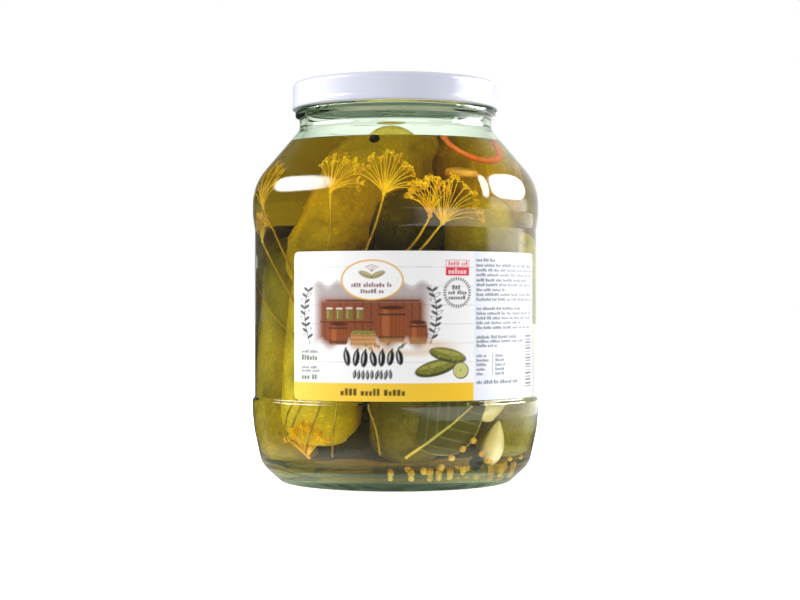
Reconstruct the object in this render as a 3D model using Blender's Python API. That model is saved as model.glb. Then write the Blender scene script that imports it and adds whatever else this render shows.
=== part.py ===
"""A 1.7-litre glass jar of pickled cucumbers, with its white twist-off cap, paper label, herbs and spices.

Sizes are in millimetres and every mesh is scaled to metres as it is made. The jar stands on z = 0 with
its axis on Z. Its front, the side that the label is read from, faces -Y. Azimuth 0 is that front, and a
positive azimuth turns towards +X.
"""

import random
from math import acos, ceil, cos, degrees, pi, radians, sin, tan

import bmesh
import bpy
from mathutils import Vector

MM = 0.001

# The cap, an 89 mm twist-off
CAP_RADIUS = 46.5
CAP_BOTTOM = 166.2
CAP_TOP = 178.2
TINPLATE = 0.6
CAP_CORNER = 2.2
CROWN_INNER_RADIUS = 38.5
PANEL_DROP = 0.9
CURL_DEPTH = 1.5
LUG_COUNT = 6
LUG_SPAN = 24.0
LUG_REACH = 1.1
LUG_HEIGHT = 1.4

# The glass
BODY_RADIUS = 64.2
LABEL_PANEL_RADIUS = 63.2
NECK_RADIUS = 43.2
BEAD_RADIUS = 45.1
MOUTH_RADIUS = 40.2
GLASS_TOP = 177.2
WALL = 2.7
FLOOR_TOP = 6.4
PUNT_HEIGHT = 2.6
STAND_RADIUS = 50.0
LOWER_RING = 34.5
PANEL_BOTTOM = 38.0
PANEL_TOP = 112.0
SHOULDER_TOP = 131.3
SHOULDER_END = 157.2
THREAD_COUNT = 6
THREAD_SPAN = 34.0
THREAD_REACH = 1.3
THREAD_RISE = 1.6
THREAD_LOW = 169.4

# The label, pasted round the recessed panel
LABEL_FROM = -42.2
LABEL_TO = 70.0
LABEL_BOTTOM = 38.7
LABEL_TOP = 101.2
LABEL_CORNER = 2.4
PAPER = 0.3

GAP = 0.3
ARC_STEP = 34.0
SMALL_FILLET = 1.6
SMALL_ARC_STEP = 60.0
JAR_SIDES = 36
CAP_SIDES = 36
BLOCK_STEPS = 3
WELD = 0.0001

# Each cucumber: azimuth, distance from the axis and height of its lower end, the same for its upper end,
# its thickness, and how far its middle bows outwards and sideways
CUCUMBERS = {
    "leaning": ((-56, 41, 82), (20, 11, 159), 34, 2, -3),
    "front": ((5, 38, 12), (8, 37, 103), 32, 0, 3),
    "front_left": ((-49, 37, 20), (-36, 38, 98), 33, 1, -2),
    "left": ((-96, 38, 12), (-66, 37, 109), 33, 2, 3),
    "left_back": ((-146, 41, 11), (-122, 41, 118), 34, 2, 0),
    "back": ((172, 41, 10), (190, 39, 124), 35, 0, 3),
    "right_back": ((124, 40, 11), (136, 40, 121), 34, 1, -2),
    "right": ((80, 40, 14), (90, 40, 112), 33, 1, 2),
    "front_right": ((47, 36, 42), (58, 38, 126), 34, 1, 0),
    "middle": ((30, 3, 13), (170, 3, 110), 36, 2, 0),
    "second_row": ((16, 20, 45), (9, 29, 127), 31, 0, 0),
    "top_right": ((92, 37, 124), (-140, 22, 140), 31, 3, 2),
}
CUCUMBER_RINGS = 8
CUCUMBER_SIDES = 10
CORE = ((14, 24), (20, 30), (98, 32), (106, 22))
CORE_SIDES = 12

# Each dill head: azimuth, height and depth from the wall of its hub, reach of its rays, fan centre and
# half-width in degrees, then the lower end of its stem as azimuth and height
DILL_HEADS = {
    "dill_left": (-69.5, 121.5, 3.4, 14, -6, 62, -34, 72),
    "dill_left_low": (-73, 107, 3.4, 10, -8, 58, -43, 76),
    "dill_second": (-27, 126, 3.4, 13, 10, 70, -33, 80),
    "dill_centre": (-4.5, 125, 3.4, 13.5, 4, 74, -22, 80),
    "dill_right": (19.5, 113.2, 3.4, 17, 10, 66, -5, 88),
    "dill_right_back": (15.5, 116.8, 9.0, 12, -8, 50, 2, 98),
    "dill_low": (-43, 14.5, 6.9, 12, 2, 56, -60, 24),
}
RAY_COUNT = 12
HUB_RADIUS = 1.5
RAY_THICKNESS = 0.8
RAY_BEAD = 2.0
RAY_SPREAD = 1.7
STEM_THICKNESS = 1.4
WALL_LOOK = 3.0

# Loose stems: azimuth and height of each end, and how far the middle swings in degrees
STEMS = {
    "stem_high": (-80, 88, -46, 66, -2),
    "stem_left": (-43, 40, -50.5, 19, -4),
    "stem_left_short": (-38, 42, -47, 27, 0),
    "stem_second": (-31, 38, -41, 16, 0),
    "stem_third": (-24, 38, -27.5, 15, 0),
    "stem_centre": (-11, 36, -6.5, 16.5, 1),
}
STEM_DEPTH = 2.6
STEM_SIDES = 5
STEM_STEPS = 8

# Azimuth, distance from the axis and height of each mustard seed's centre
MUSTARD_DIAMETER = 3.0
MUSTARD_SEEDS = (
    (33.5, 57.8, 21.8), (28.7, 57.4, 18.5), (24.0, 56.5, 14.8), (20.2, 54.0, 10.9), (38.6, 57.0, 16.0),
    (42.0, 56.6, 13.0), (31.5, 52.0, 9.5), (26.5, 48.5, 8.6), (21.5, 47.0, 8.4), (18.0, 43.5, 8.3),
    (7.8, 45.5, 8.3), (-2.4, 46.0, 8.3),
)
SEED_SIDES = 6
SEED_RINGS = 4

# Two rounder spices: azimuth, distance from the axis, height and diameter
SPICES = {
    "allspice_berry": (39.5, 50.8, 11.9, 6.4),
    "peppercorn": (-11.9, 41.2, 147.4, 4.4),
}

# A bay-shaped leaf: azimuth and height of the stalk's end, its lean from upright, length, width and depth
LEAF_FOOT = (4.2, 15.0)
LEAF_LEAN = 54.0
LEAF_LENGTH = 46.0
LEAF_WIDTH = 25.0
LEAF_STALK = 0.16
LEAF_STALK_WIDTH = 1.6
LEAF_DEPTH = 4.6
LEAF_THICKNESS = 0.5
LEAF_WAVE = 0.35
LEAF_ROWS = 12
LEAF_COLUMNS = 6

# Garlic cloves: azimuth, distance from the axis and height of the middle, then length, thickness and lean
GARLIC_CLOVES = {
    "garlic_clove_low": (50.0, 52.0, 20.0, 20, 12.5, 10),
    "garlic_clove_high": (48, 52.0, 35.0, 20, 11.5, 72),
}
CLOVE_SIDES = 8
CLOVE_RINGS = 6

# The carrot strip curls down from the surface; the coin lies under it
CARROT_CURL = {"azimuth": 47, "swing": 17, "top": 149.4, "drop": 11.4, "radius": 39.5, "reach": 9.5}
CARROT_CURL_THICKNESS = 3.2
CARROT_CURL_TURN = 96
CARROT_STEPS = 12
CARROT_COIN = (31.5, 47.5, 133.4)
CARROT_COIN_RADIUS = 6.8
CARROT_COIN_THICKNESS = 2.6
CARROT_COIN_SIDES = 16


def clear_scene():
    for existing in list(bpy.data.objects):
        bpy.data.objects.remove(existing)


def finish_material(name, colour, roughness, metallic=0.0):
    """A Principled material with one colour, the same in the viewport and in a render."""
    made = bpy.data.materials.new(name)
    made.use_nodes = True
    shader = made.node_tree.nodes["Principled BSDF"]
    shader.inputs["Base Color"].default_value = (*colour, 1.0)
    shader.inputs["Roughness"].default_value = roughness
    shader.inputs["Metallic"].default_value = metallic
    made.diffuse_color = (*colour, 1.0)
    return made


def clear_glass():
    made = finish_material("glass", (0.86, 0.93, 0.87), 0.03)
    made.node_tree.nodes["Principled BSDF"].inputs["Transmission Weight"].default_value = 1.0
    return made


def add_object(name, bm, finish, smooth_angle=40.0):
    """Scales a mesh from millimetres to metres, points its faces out and puts it in the scene."""
    bmesh.ops.scale(bm, vec=(MM, MM, MM), verts=bm.verts)
    bmesh.ops.recalc_face_normals(bm, faces=bm.faces)
    mesh = bpy.data.meshes.new(name)
    bm.to_mesh(mesh)
    bm.free()
    mesh.shade_smooth()
    mesh.set_sharp_from_angle(angle=radians(smooth_angle))
    mesh.materials.append(finish)
    made = bpy.data.objects.new(name, mesh)
    bpy.context.scene.collection.objects.link(made)
    return made


# Turned shapes

def corner_arc(before, corner, after, fillet):
    """Points of the round that a fillet makes at one corner of an outline."""
    point = Vector(corner)
    back = (Vector(before) - point).normalized()
    ahead = (Vector(after) - point).normalized()
    half = back.angle(ahead) / 2
    if fillet == 0 or half > radians(89.5):
        return [point]
    start = point + back * (fillet / tan(half))
    centre = point + (back + ahead).normalized() * (fillet / sin(half))
    turn = pi - 2 * half
    steps = max(1, ceil(degrees(turn) / (SMALL_ARC_STEP if fillet < SMALL_FILLET else ARC_STEP)))
    sign = 1 if back.x * ahead.y - back.y * ahead.x < 0 else -1
    spoke = start - centre
    arc = []
    for i in range(steps + 1):
        angle = sign * turn * i / steps
        arc.append(centre + Vector((
            spoke.x * cos(angle) - spoke.y * sin(angle),
            spoke.x * sin(angle) + spoke.y * cos(angle),
        )))
    return arc


def rounded(corners):
    """An outline of (radius, height, fillet) corners with each corner rounded."""
    outline = [Vector(corners[0][:2])]
    for before, corner, after in zip(corners, corners[1:], corners[2:]):
        outline += corner_arc(before[:2], corner[:2], after[:2], corner[2])
    outline.append(Vector(corners[-1][:2]))
    return outline


def turned(outline, sides):
    """A closed solid from an outline that starts and ends on the axis."""
    bm = bmesh.new()
    rings = []
    for radius, height in outline:
        if radius < WELD:
            rings.append([bm.verts.new((0, 0, height))])
            continue
        rings.append([
            bm.verts.new((radius * cos(2 * pi * i / sides), radius * sin(2 * pi * i / sides), height))
            for i in range(sides)
        ])
    for low, high in zip(rings, rings[1:]):
        for i in range(sides):
            j = (i + 1) % sides
            if len(low) == 1:
                bm.faces.new((low[0], high[i], high[j]))
            elif len(high) == 1:
                bm.faces.new((low[i], high[0], low[j]))
            else:
                bm.faces.new((low[i], high[i], high[j], low[j]))
    return bm


def jar_outside():
    """The outer outline, from the middle of the underside to the rim."""
    return [
        (0, PUNT_HEIGHT, 0),
        (STAND_RADIUS - 7, PUNT_HEIGHT - 0.4, 3),
        (STAND_RADIUS - 3.5, 0, 1.5),
        (STAND_RADIUS + 1.5, 0, 3),
        (59.6, 8.0, 10),
        (62.7, 22.0, 16),
        (BODY_RADIUS, LOWER_RING - 4, 4),
        (BODY_RADIUS, LOWER_RING + 1.5, 2),
        (LABEL_PANEL_RADIUS, PANEL_BOTTOM, 1),
        (LABEL_PANEL_RADIUS, PANEL_TOP, 8),
        (BODY_RADIUS, PANEL_TOP + 7, 6),
        (BODY_RADIUS, SHOULDER_TOP, 10),
        (NECK_RADIUS, SHOULDER_END, 4.5),
        (NECK_RADIUS, 162.2, 0),
        (BEAD_RADIUS, 163.2, 0.7),
        (BEAD_RADIUS, 165.2, 0.7),
        (NECK_RADIUS + 0.2, 166.2, 0),
        (NECK_RADIUS + 0.2, GLASS_TOP, 1.3),
    ]


def jar_inside():
    """The inner outline, from the rim to the middle of the floor."""
    inner = LABEL_PANEL_RADIUS - WALL
    return [
        (MOUTH_RADIUS, GLASS_TOP, 1.2),
        (MOUTH_RADIUS, SHOULDER_END - 1.2, 5),
        (BODY_RADIUS - WALL - 0.2, SHOULDER_TOP - 0.8, 10),
        (BODY_RADIUS - WALL - 0.2, PANEL_TOP + 8, 8),
        (inner, PANEL_TOP, 8),
        (inner, 20, 12),
        (inner - 2.2, FLOOR_TOP + 3.4, 9),
        (47, FLOOR_TOP - 0.2, 6),
        (0, FLOOR_TOP + 0.6, 0),
    ]


def inner_outline():
    """The inside of the wall alone, as points that run down from the mouth."""
    return rounded([(MOUTH_RADIUS, GLASS_TOP + 1, 0), *jar_inside()[1:]])


INNER_WALL = inner_outline()


def wall_radius(height):
    """Radius of the inside of the glass at a height."""
    for high, low in zip(INNER_WALL, INNER_WALL[1:]):
        if low.y <= height <= high.y and high.y - low.y > WELD:
            share = (height - low.y) / (high.y - low.y)
            return low.x + (high.x - low.x) * share
    return MOUTH_RADIUS


def polar(azimuth, radius, height):
    return Vector((radius * sin(radians(azimuth)), -radius * cos(radians(azimuth)), height))


def on_wall(azimuth, height, depth):
    """The point at an azimuth and height, this far in from the inside of the glass just there."""
    nearby = (height - WALL_LOOK, height, height + WALL_LOOK)
    return polar(azimuth, min(wall_radius(z) for z in nearby) - depth, height)


def arc_block(inner, outer, low, high, middle, span, rise=0.0, steps=BLOCK_STEPS):
    """A block bent round the axis, as a thread or a lug is, with sloping ends; rise lifts its far end."""
    bm = bmesh.new()
    sections = []
    for i in range(steps + 1):
        share = i / steps
        angle = radians(middle + span * (share - 0.5))
        lift = rise * (share - 0.5)
        reach = 0.35 if i in (0, steps) else 1.0
        near, far = (inner, inner + (outer - inner) * reach)
        corners = ((near, low), (far, low + 0.3), (far, high - 0.3), (near, high))
        sections.append([
            bm.verts.new((r * sin(angle), -r * cos(angle), z + lift)) for r, z in corners
        ])
    for first, second in zip(sections, sections[1:]):
        for i in range(4):
            j = (i + 1) % 4
            bm.faces.new((first[i], first[j], second[j], second[i]))
    bm.faces.new(sections[0][::-1])
    bm.faces.new(sections[-1])
    return bm


def fuse(target, meshes, finish):
    """Joins meshes to an object with one Boolean union, then removes them."""
    group = bpy.data.collections.new(target.name + "_pieces")
    bpy.context.scene.collection.children.link(group)
    helpers = []
    for index, bm in enumerate(meshes):
        helper = add_object(f"{target.name}_piece_{index}", bm, finish)
        bpy.context.scene.collection.objects.unlink(helper)
        group.objects.link(helper)
        helpers.append(helper)
    union = target.modifiers.new("union", "BOOLEAN")
    union.operation = "UNION"
    union.operand_type = "COLLECTION"
    union.collection = group
    union.solver = "EXACT"
    bpy.context.view_layer.update()
    evaluated = target.evaluated_get(bpy.context.evaluated_depsgraph_get())
    joined = bpy.data.meshes.new_from_object(evaluated)
    target.modifiers.remove(union)
    target.data = joined
    for helper in helpers:
        bpy.data.objects.remove(helper)
    bpy.data.collections.remove(group)
    return target


def keep_outer_skin(target):
    """Deletes every island of faces but the largest, which fills sealed hollows and drops loose scraps."""
    bm = bmesh.new()
    bm.from_mesh(target.data)
    waiting = set(bm.faces)
    islands = []
    while waiting:
        front = [waiting.pop()]
        island = list(front)
        while front:
            for edge in front.pop().edges:
                for other in edge.link_faces:
                    if len(edge.link_faces) == 2 and other in waiting:
                        waiting.remove(other)
                        island.append(other)
                        front.append(other)
        islands.append(island)
    islands.sort(key=len)
    for island in islands[:-1]:
        bmesh.ops.delete(bm, geom=island, context="FACES")
    bm.to_mesh(target.data)
    bm.free()
    return target


def make_jar(glass):
    jar = add_object("jar", turned(rounded(jar_outside() + jar_inside()), JAR_SIDES), glass)
    threads = [
        arc_block(
            NECK_RADIUS - 0.6, NECK_RADIUS + THREAD_REACH, THREAD_LOW, THREAD_LOW + 2.0,
            360 * i / THREAD_COUNT, THREAD_SPAN, THREAD_RISE,
        )
        for i in range(THREAD_COUNT)
    ]
    return fuse(jar, threads, glass)


def make_cap(enamel):
    inner = CAP_RADIUS - TINPLATE
    under_crown = CAP_TOP - TINPLATE
    panel = CAP_TOP - PANEL_DROP
    outline = rounded([
        (0, panel, 0),
        (CROWN_INNER_RADIUS - 14, panel, 0),
        (CROWN_INNER_RADIUS - 13.2, panel - 0.5, 0),
        (CROWN_INNER_RADIUS - 1.2, panel - 0.5, 0.6),
        (CROWN_INNER_RADIUS, CAP_TOP, 0.6),
        (CAP_RADIUS - 0.2, CAP_TOP, CAP_CORNER),
        (CAP_RADIUS - 0.2, CAP_BOTTOM + 3.2, 1),
        (CAP_RADIUS, CAP_BOTTOM + 2.2, 0.8),
        (CAP_RADIUS, CAP_BOTTOM, 0.8),
        (CAP_RADIUS - CURL_DEPTH, CAP_BOTTOM, 0.7),
        (CAP_RADIUS - CURL_DEPTH, CAP_BOTTOM + 1.7, 0.5),
        (inner - 0.1, CAP_BOTTOM + 2.0, 0),
        (inner - 0.2, under_crown, CAP_CORNER - TINPLATE),
        (CROWN_INNER_RADIUS + 0.8, under_crown, 0),
        (CROWN_INNER_RADIUS - 0.8, panel - 0.5 - TINPLATE, 0),
        (0, panel - 0.5 - TINPLATE, 0),
    ])
    cap = add_object("lid", turned(outline, CAP_SIDES), enamel)
    curl = CAP_RADIUS - CURL_DEPTH
    lugs = [
        arc_block(
            curl - LUG_REACH, curl + 0.7, CAP_BOTTOM + 0.3, CAP_BOTTOM + 0.3 + LUG_HEIGHT,
            360 * (i + 0.5) / LUG_COUNT, LUG_SPAN,
        )
        for i in range(LUG_COUNT)
    ]
    return fuse(cap, lugs, enamel)


def make_label(paper):
    """A thin sheet with round corners, bent round the recessed panel."""
    inner = LABEL_PANEL_RADIUS + GAP
    corner_turn = degrees(LABEL_CORNER / inner)
    corner_steps, middle_steps = 4, 30
    turns = [LABEL_FROM + corner_turn * (1 - cos(pi / 2 * i / corner_steps)) for i in range(corner_steps)]
    start, end = LABEL_FROM + corner_turn, LABEL_TO - corner_turn
    turns += [start + (end - start) * i / middle_steps for i in range(middle_steps + 1)]
    turns += [LABEL_FROM + LABEL_TO - turn for turn in reversed(turns[:corner_steps])]
    bm = bmesh.new()
    columns = []
    for turn in turns:
        from_edge = min(turn - LABEL_FROM, LABEL_TO - turn) / corner_turn
        short = LABEL_CORNER * (1 - sin(acos(1 - min(1.0, from_edge))))
        angle = radians(turn)
        columns.append([
            bm.verts.new((r * sin(angle), -r * cos(angle), z))
            for r, z in (
                (inner, LABEL_BOTTOM + short), (inner + PAPER, LABEL_BOTTOM + short),
                (inner + PAPER, LABEL_TOP - short), (inner, LABEL_TOP - short),
            )
        ])
    for first, second in zip(columns, columns[1:]):
        for i in range(4):
            j = (i + 1) % 4
            bm.faces.new((first[i], first[j], second[j], second[i]))
    bm.faces.new(columns[0][::-1])
    bm.faces.new(columns[-1])
    return add_object("label", bm, paper)


# The contents

def ring_about(bm, centre, direction, radius, sides, lumps=None):
    """A ring of points round a direction; lumps scales each point's radius."""
    turn = direction.to_track_quat("Z", "Y")
    return [
        bm.verts.new(centre + turn @ Vector((
            radius * (lumps[i] if lumps else 1) * cos(2 * pi * i / sides),
            radius * (lumps[i] if lumps else 1) * sin(2 * pi * i / sides),
            0,
        )))
        for i in range(sides)
    ]


def skin(bm, rings, tail, tip):
    """Faces between rings, closed to a point at each end."""
    sides = len(rings[0])
    first, last = bm.verts.new(tail), bm.verts.new(tip)
    for i in range(sides):
        j = (i + 1) % sides
        bm.faces.new((first, rings[0][j], rings[0][i]))
        bm.faces.new((last, rings[-1][i], rings[-1][j]))
        for low, high in zip(rings, rings[1:]):
            bm.faces.new((low[i], low[j], high[j], high[i]))
    return bm


def cucumber(lower_end, upper_end, thickness, bow_out, bow_side, seed):
    """A bowed, blunt-ended cucumber with slightly uneven flanks."""
    draw = random.Random(seed)
    lower, upper = polar(*lower_end), polar(*upper_end)
    middle = (lower + upper) / 2
    out = Vector((middle.x, middle.y, 0)).normalized()
    bow = out * bow_out + Vector((-out.y, out.x, 0)) * bow_side
    lumps = [1 + draw.uniform(-0.04, 0.04) for _ in range(CUCUMBER_SIDES)]
    bm = bmesh.new()
    rings = []
    for i in range(1, CUCUMBER_RINGS + 1):
        share = (1 - cos(pi * i / (CUCUMBER_RINGS + 1))) / 2
        middle = lower.lerp(upper, share) + bow * (4 * share * (1 - share))
        direction = (upper - lower) + bow * (4 * (1 - 2 * share))
        blunt = (1 - abs(2 * share - 1) ** 4) ** 0.5
        rings.append(ring_about(bm, middle, direction, thickness / 2 * blunt, CUCUMBER_SIDES, lumps))
    return skin(bm, rings, lower, upper)


def make_pickles(flesh):
    """The packed cucumbers, joined over a plain core that their fronts hide."""
    core = add_object(
        "pickles",
        turned([Vector((0, CORE[0][0]))] + [Vector((r, z)) for z, r in CORE] + [Vector((0, CORE[-1][0]))], CORE_SIDES),
        flesh,
    )
    pieces = [cucumber(*shape, seed) for seed, shape in enumerate(CUCUMBERS.values())]
    return keep_outer_skin(fuse(core, pieces, flesh))


def draw_out(bm, face, path, sections):
    """Extrudes a face along points, giving each new face its half-thickness."""
    for point, half in zip(path, sections):
        result = bmesh.ops.extrude_discrete_faces(bm, faces=[face])
        face = result["faces"][0]
        middle = face.calc_center_median()
        spread = max((v.co - middle).length for v in face.verts)
        for v in face.verts:
            v.co = point + (v.co - middle) * (half / spread)
    return face


def square_up(face, direction):
    """Turns a face about its middle until it looks along a direction."""
    middle = face.calc_center_median()
    turn = face.normal.rotation_difference(direction)
    for v in face.verts:
        v.co = middle + turn @ (v.co - middle)


def nearest_free_face(faces, direction, taken):
    return min((f for f in faces if f not in taken), key=lambda f: f.normal.angle(direction))


def dill_head(name, azimuth, height, depth, reach, fan_centre, fan_half, foot_azimuth, foot_height, green):
    """A hub with rays that end in beads and one stem, drawn flat and then wrapped inside the glass.

    In the flat drawing x runs round the wall, z up it and y away from it.
    """
    draw = random.Random(name)
    bm = bmesh.new()
    bmesh.ops.create_icosphere(bm, subdivisions=2, radius=HUB_RADIUS)
    bm.normal_update()
    arc = (wall_radius(height) - depth) * radians(1)
    faces = list(bm.faces)
    taken = [min(faces, key=lambda f: f.normal.z)]
    aims = []
    for i in range(RAY_COUNT):
        angle = radians(fan_centre + fan_half * (2 * i / (RAY_COUNT - 1) - 1))
        aims.append(Vector((sin(angle), (-0.5, 0.5, 0)[i % 3], cos(angle))))
        taken.append(nearest_free_face(faces, aims[-1], taken))
    for aim, face in zip(aims, taken[1:]):
        length = reach * draw.uniform(0.86, 1.0)
        far = Vector((aim.x * length, aim.y * 2 * RAY_SPREAD, aim.z * length + 0.10 * reach))
        draw_out(
            bm, face,
            [far * 0.84, far * 0.93, far * 1.04],
            [RAY_THICKNESS / 2, RAY_BEAD / 2, RAY_BEAD / 5],
        )
    foot = Vector(((foot_azimuth - azimuth) * arc, 0, foot_height - height))
    start = draw_out(bm, taken[0], [Vector((0, 0, -HUB_RADIUS * 1.5))], [STEM_THICKNESS / 2])
    square_up(start, Vector((0, 0, -1)))
    path = []
    for i in range(1, STEM_STEPS + 1):
        share = i / STEM_STEPS
        path.append(foot * share + Vector((1.5 * sin(pi * share), 0, 0)))
    draw_out(bm, start, path, [STEM_THICKNESS / 2] * STEM_STEPS)
    for v in bm.verts:
        v.co = on_wall(azimuth + v.co.x / arc, height + v.co.z, depth + v.co.y)
    bmesh.ops.triangulate(bm, faces=bm.faces)
    return add_object(name, bm, green)


def loose_stem(name, azimuth, height, foot_azimuth, foot_height, swing, green):
    """A bare dill stem against the inside of the glass."""
    points = []
    for i in range(STEM_STEPS + 1):
        share = i / STEM_STEPS
        turn = azimuth + (foot_azimuth - azimuth) * share + swing * sin(pi * share)
        points.append(on_wall(turn, height + (foot_height - height) * share, STEM_DEPTH))
    bm = bmesh.new()
    rings = []
    for i, point in enumerate(points):
        ahead = points[min(i + 1, STEM_STEPS)] - points[max(i - 1, 0)]
        rings.append(ring_about(bm, point, ahead, STEM_THICKNESS / 2, STEM_SIDES))
    skin(bm, rings, points[0], points[-1])
    return add_object(name, bm, green)


def ball(name, centre, radius, finish, sides=SEED_SIDES, rings=SEED_RINGS):
    bm = bmesh.new()
    bmesh.ops.create_uvsphere(bm, u_segments=sides, v_segments=rings, radius=radius)
    bmesh.ops.translate(bm, vec=centre, verts=bm.verts)
    return add_object(name, bm, finish)


def make_seeds(yellow):
    for number, place in enumerate(MUSTARD_SEEDS, start=1):
        ball(f"mustard_seed_{number:02d}", polar(*place), MUSTARD_DIAMETER / 2, yellow)


def make_spices(brown):
    for name, (azimuth, radius, height, diameter) in SPICES.items():
        ball(name, polar(azimuth, radius, height), diameter / 2, brown, 8, 6)


def leaf_half_width(share):
    """Half the leaf's width, this share of the way from its stalk's end to its tip."""
    if share < LEAF_STALK:
        return LEAF_STALK_WIDTH / 2
    along = (share - LEAF_STALK) / (1 - LEAF_STALK)
    return LEAF_STALK_WIDTH / 2 + LEAF_WIDTH / 2 * sin(pi * along ** 0.8) * (1 - 0.15 * along)


def make_leaf(olive):
    """A thin wavy leaf that lies inside the glass, with the same triangles on both faces."""
    azimuth, height = LEAF_FOOT
    arc = (wall_radius(height + 12) - LEAF_DEPTH) * radians(1)
    lean = radians(LEAF_LEAN)
    bm = bmesh.new()
    front, back = [], []
    for i in range(LEAF_ROWS + 1):
        share = i / LEAF_ROWS
        along = LEAF_LENGTH * share
        for side, inset in ((front, 0), (back, LEAF_THICKNESS)):
            row = []
            for j in range(LEAF_COLUMNS + 1):
                across = leaf_half_width(share) * (2 * j / LEAF_COLUMNS - 1)
                x = along * sin(lean) + across * cos(lean)
                z = along * cos(lean) - across * sin(lean)
                depth = LEAF_DEPTH + LEAF_WAVE * sin(along / 5 + across / 4) + inset
                row.append(bm.verts.new(on_wall(azimuth + x / arc, height + z, depth)))
            side.append(row)
    for side in (front, back):
        for low, high in zip(side, side[1:]):
            for j in range(LEAF_COLUMNS):
                bm.faces.new((low[j], low[j + 1], high[j + 1]))
                bm.faces.new((low[j], high[j + 1], high[j]))
    rim = [(i, 0) for i in range(LEAF_ROWS)] + [(LEAF_ROWS, j) for j in range(LEAF_COLUMNS)]
    rim += [(LEAF_ROWS - i, LEAF_COLUMNS) for i in range(LEAF_ROWS)]
    rim += [(0, LEAF_COLUMNS - j) for j in range(LEAF_COLUMNS)]
    for (i, j), (k, m) in zip(rim, rim[1:] + rim[:1]):
        bm.faces.new((front[i][j], front[k][m], back[k][m], back[i][j]))
    return add_object("leaf", bm, olive)


def make_garlic(cream):
    """Cloves: fat teardrops, flatter on the inner side, lying against the glass."""
    for name, (azimuth, radius, height, length, thickness, lean) in GARLIC_CLOVES.items():
        centre = polar(azimuth, radius, height)
        out = Vector((centre.x, centre.y, 0)).normalized()
        side = Vector((-out.y, out.x, 0))
        up = side * sin(radians(lean)) + Vector((0, 0, 1)) * cos(radians(lean))
        bm = bmesh.new()
        rings = []
        for i in range(1, CLOVE_RINGS + 1):
            share = i / (CLOVE_RINGS + 1)
            fat = sin(pi * share) ** 0.75 * (1.18 - 0.5 * share)
            middle = centre + up * length * (share - 0.5) - out * thickness * 0.12 * sin(pi * share)
            lumps = [1 - 0.16 * (k % 2) for k in range(CLOVE_SIDES)]
            rings.append(ring_about(bm, middle, up, thickness / 2 * fat, CLOVE_SIDES, lumps))
        skin(bm, rings, centre - up * length * 0.5, centre + up * length * 0.5)
        add_object(name, bm, cream)


def make_carrot(orange):
    """A curled strip whose ends reach up to the surface, and a coin below it."""
    curl = CARROT_CURL
    points = []
    for i in range(CARROT_STEPS + 1):
        angle = radians(CARROT_CURL_TURN * (2 * i / CARROT_STEPS - 1))
        points.append(polar(
            curl["azimuth"] + curl["swing"] * sin(angle),
            curl["radius"] + curl["reach"] * cos(angle),
            curl["top"] - curl["drop"] * cos(angle),
        ))
    bm = bmesh.new()
    rings = []
    for i in range(1, CARROT_STEPS):
        ahead = points[i + 1] - points[i - 1]
        rings.append(ring_about(bm, points[i], ahead, CARROT_CURL_THICKNESS / 2, 6))
    skin(bm, rings, points[0], points[-1])
    add_object("carrot_strip", bm, orange)
    coin = bmesh.new()
    bmesh.ops.create_cone(
        coin, cap_ends=True, segments=CARROT_COIN_SIDES, radius1=CARROT_COIN_RADIUS,
        radius2=CARROT_COIN_RADIUS, depth=CARROT_COIN_THICKNESS,
    )
    bmesh.ops.translate(coin, vec=polar(*CARROT_COIN), verts=coin.verts)
    add_object("carrot_coin", coin, orange)


def main():
    clear_scene()
    glass = clear_glass()
    enamel = finish_material("lid_enamel", (0.86, 0.87, 0.92), 0.25)
    paper = finish_material("label_paper", (0.93, 0.93, 0.90), 0.5)
    flesh = finish_material("pickle_skin", (0.38, 0.31, 0.04), 0.45)
    green = finish_material("dill", (0.62, 0.36, 0.02), 0.6)
    yellow = finish_material("mustard", (0.78, 0.46, 0.06), 0.5)
    make_jar(glass)
    make_cap(enamel)
    make_label(paper)
    make_pickles(flesh)
    for name, shape in DILL_HEADS.items():
        dill_head(name, *shape, green)
    for name, shape in STEMS.items():
        loose_stem(name, *shape, green)
    make_seeds(yellow)
    make_spices(finish_material("spice", (0.05, 0.03, 0.03), 0.6))
    make_leaf(finish_material("leaf", (0.14, 0.14, 0.02), 0.5))
    make_garlic(finish_material("garlic", (0.80, 0.66, 0.40), 0.4))
    make_carrot(finish_material("carrot", (0.80, 0.20, 0.02), 0.4))


main()
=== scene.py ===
"""The looks of a big jar of pickled cucumbers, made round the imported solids.

Lengths are in millimetres and are scaled to metres as each mesh is made. The jar stands on z = 0 with its
axis on Z and its front facing -Y. Azimuth 0 is that front, and a positive azimuth turns towards +X.
"""

import random
from math import ceil, cos, degrees, exp, pi, radians, sin, sqrt, tan

import bmesh
import bpy
import numpy as np
from mathutils import Matrix, Vector, noise


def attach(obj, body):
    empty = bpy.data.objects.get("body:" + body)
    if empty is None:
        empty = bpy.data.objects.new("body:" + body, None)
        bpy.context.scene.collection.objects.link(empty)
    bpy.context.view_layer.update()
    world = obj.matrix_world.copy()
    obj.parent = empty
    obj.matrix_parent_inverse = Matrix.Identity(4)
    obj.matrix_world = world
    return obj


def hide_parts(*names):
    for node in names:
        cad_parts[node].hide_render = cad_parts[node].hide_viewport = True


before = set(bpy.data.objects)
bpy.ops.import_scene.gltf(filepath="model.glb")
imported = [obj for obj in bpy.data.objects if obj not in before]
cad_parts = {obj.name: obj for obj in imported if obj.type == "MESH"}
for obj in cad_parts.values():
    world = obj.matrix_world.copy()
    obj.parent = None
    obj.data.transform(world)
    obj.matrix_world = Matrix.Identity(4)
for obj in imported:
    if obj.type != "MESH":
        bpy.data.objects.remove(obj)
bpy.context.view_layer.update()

MM = 0.001

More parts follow.
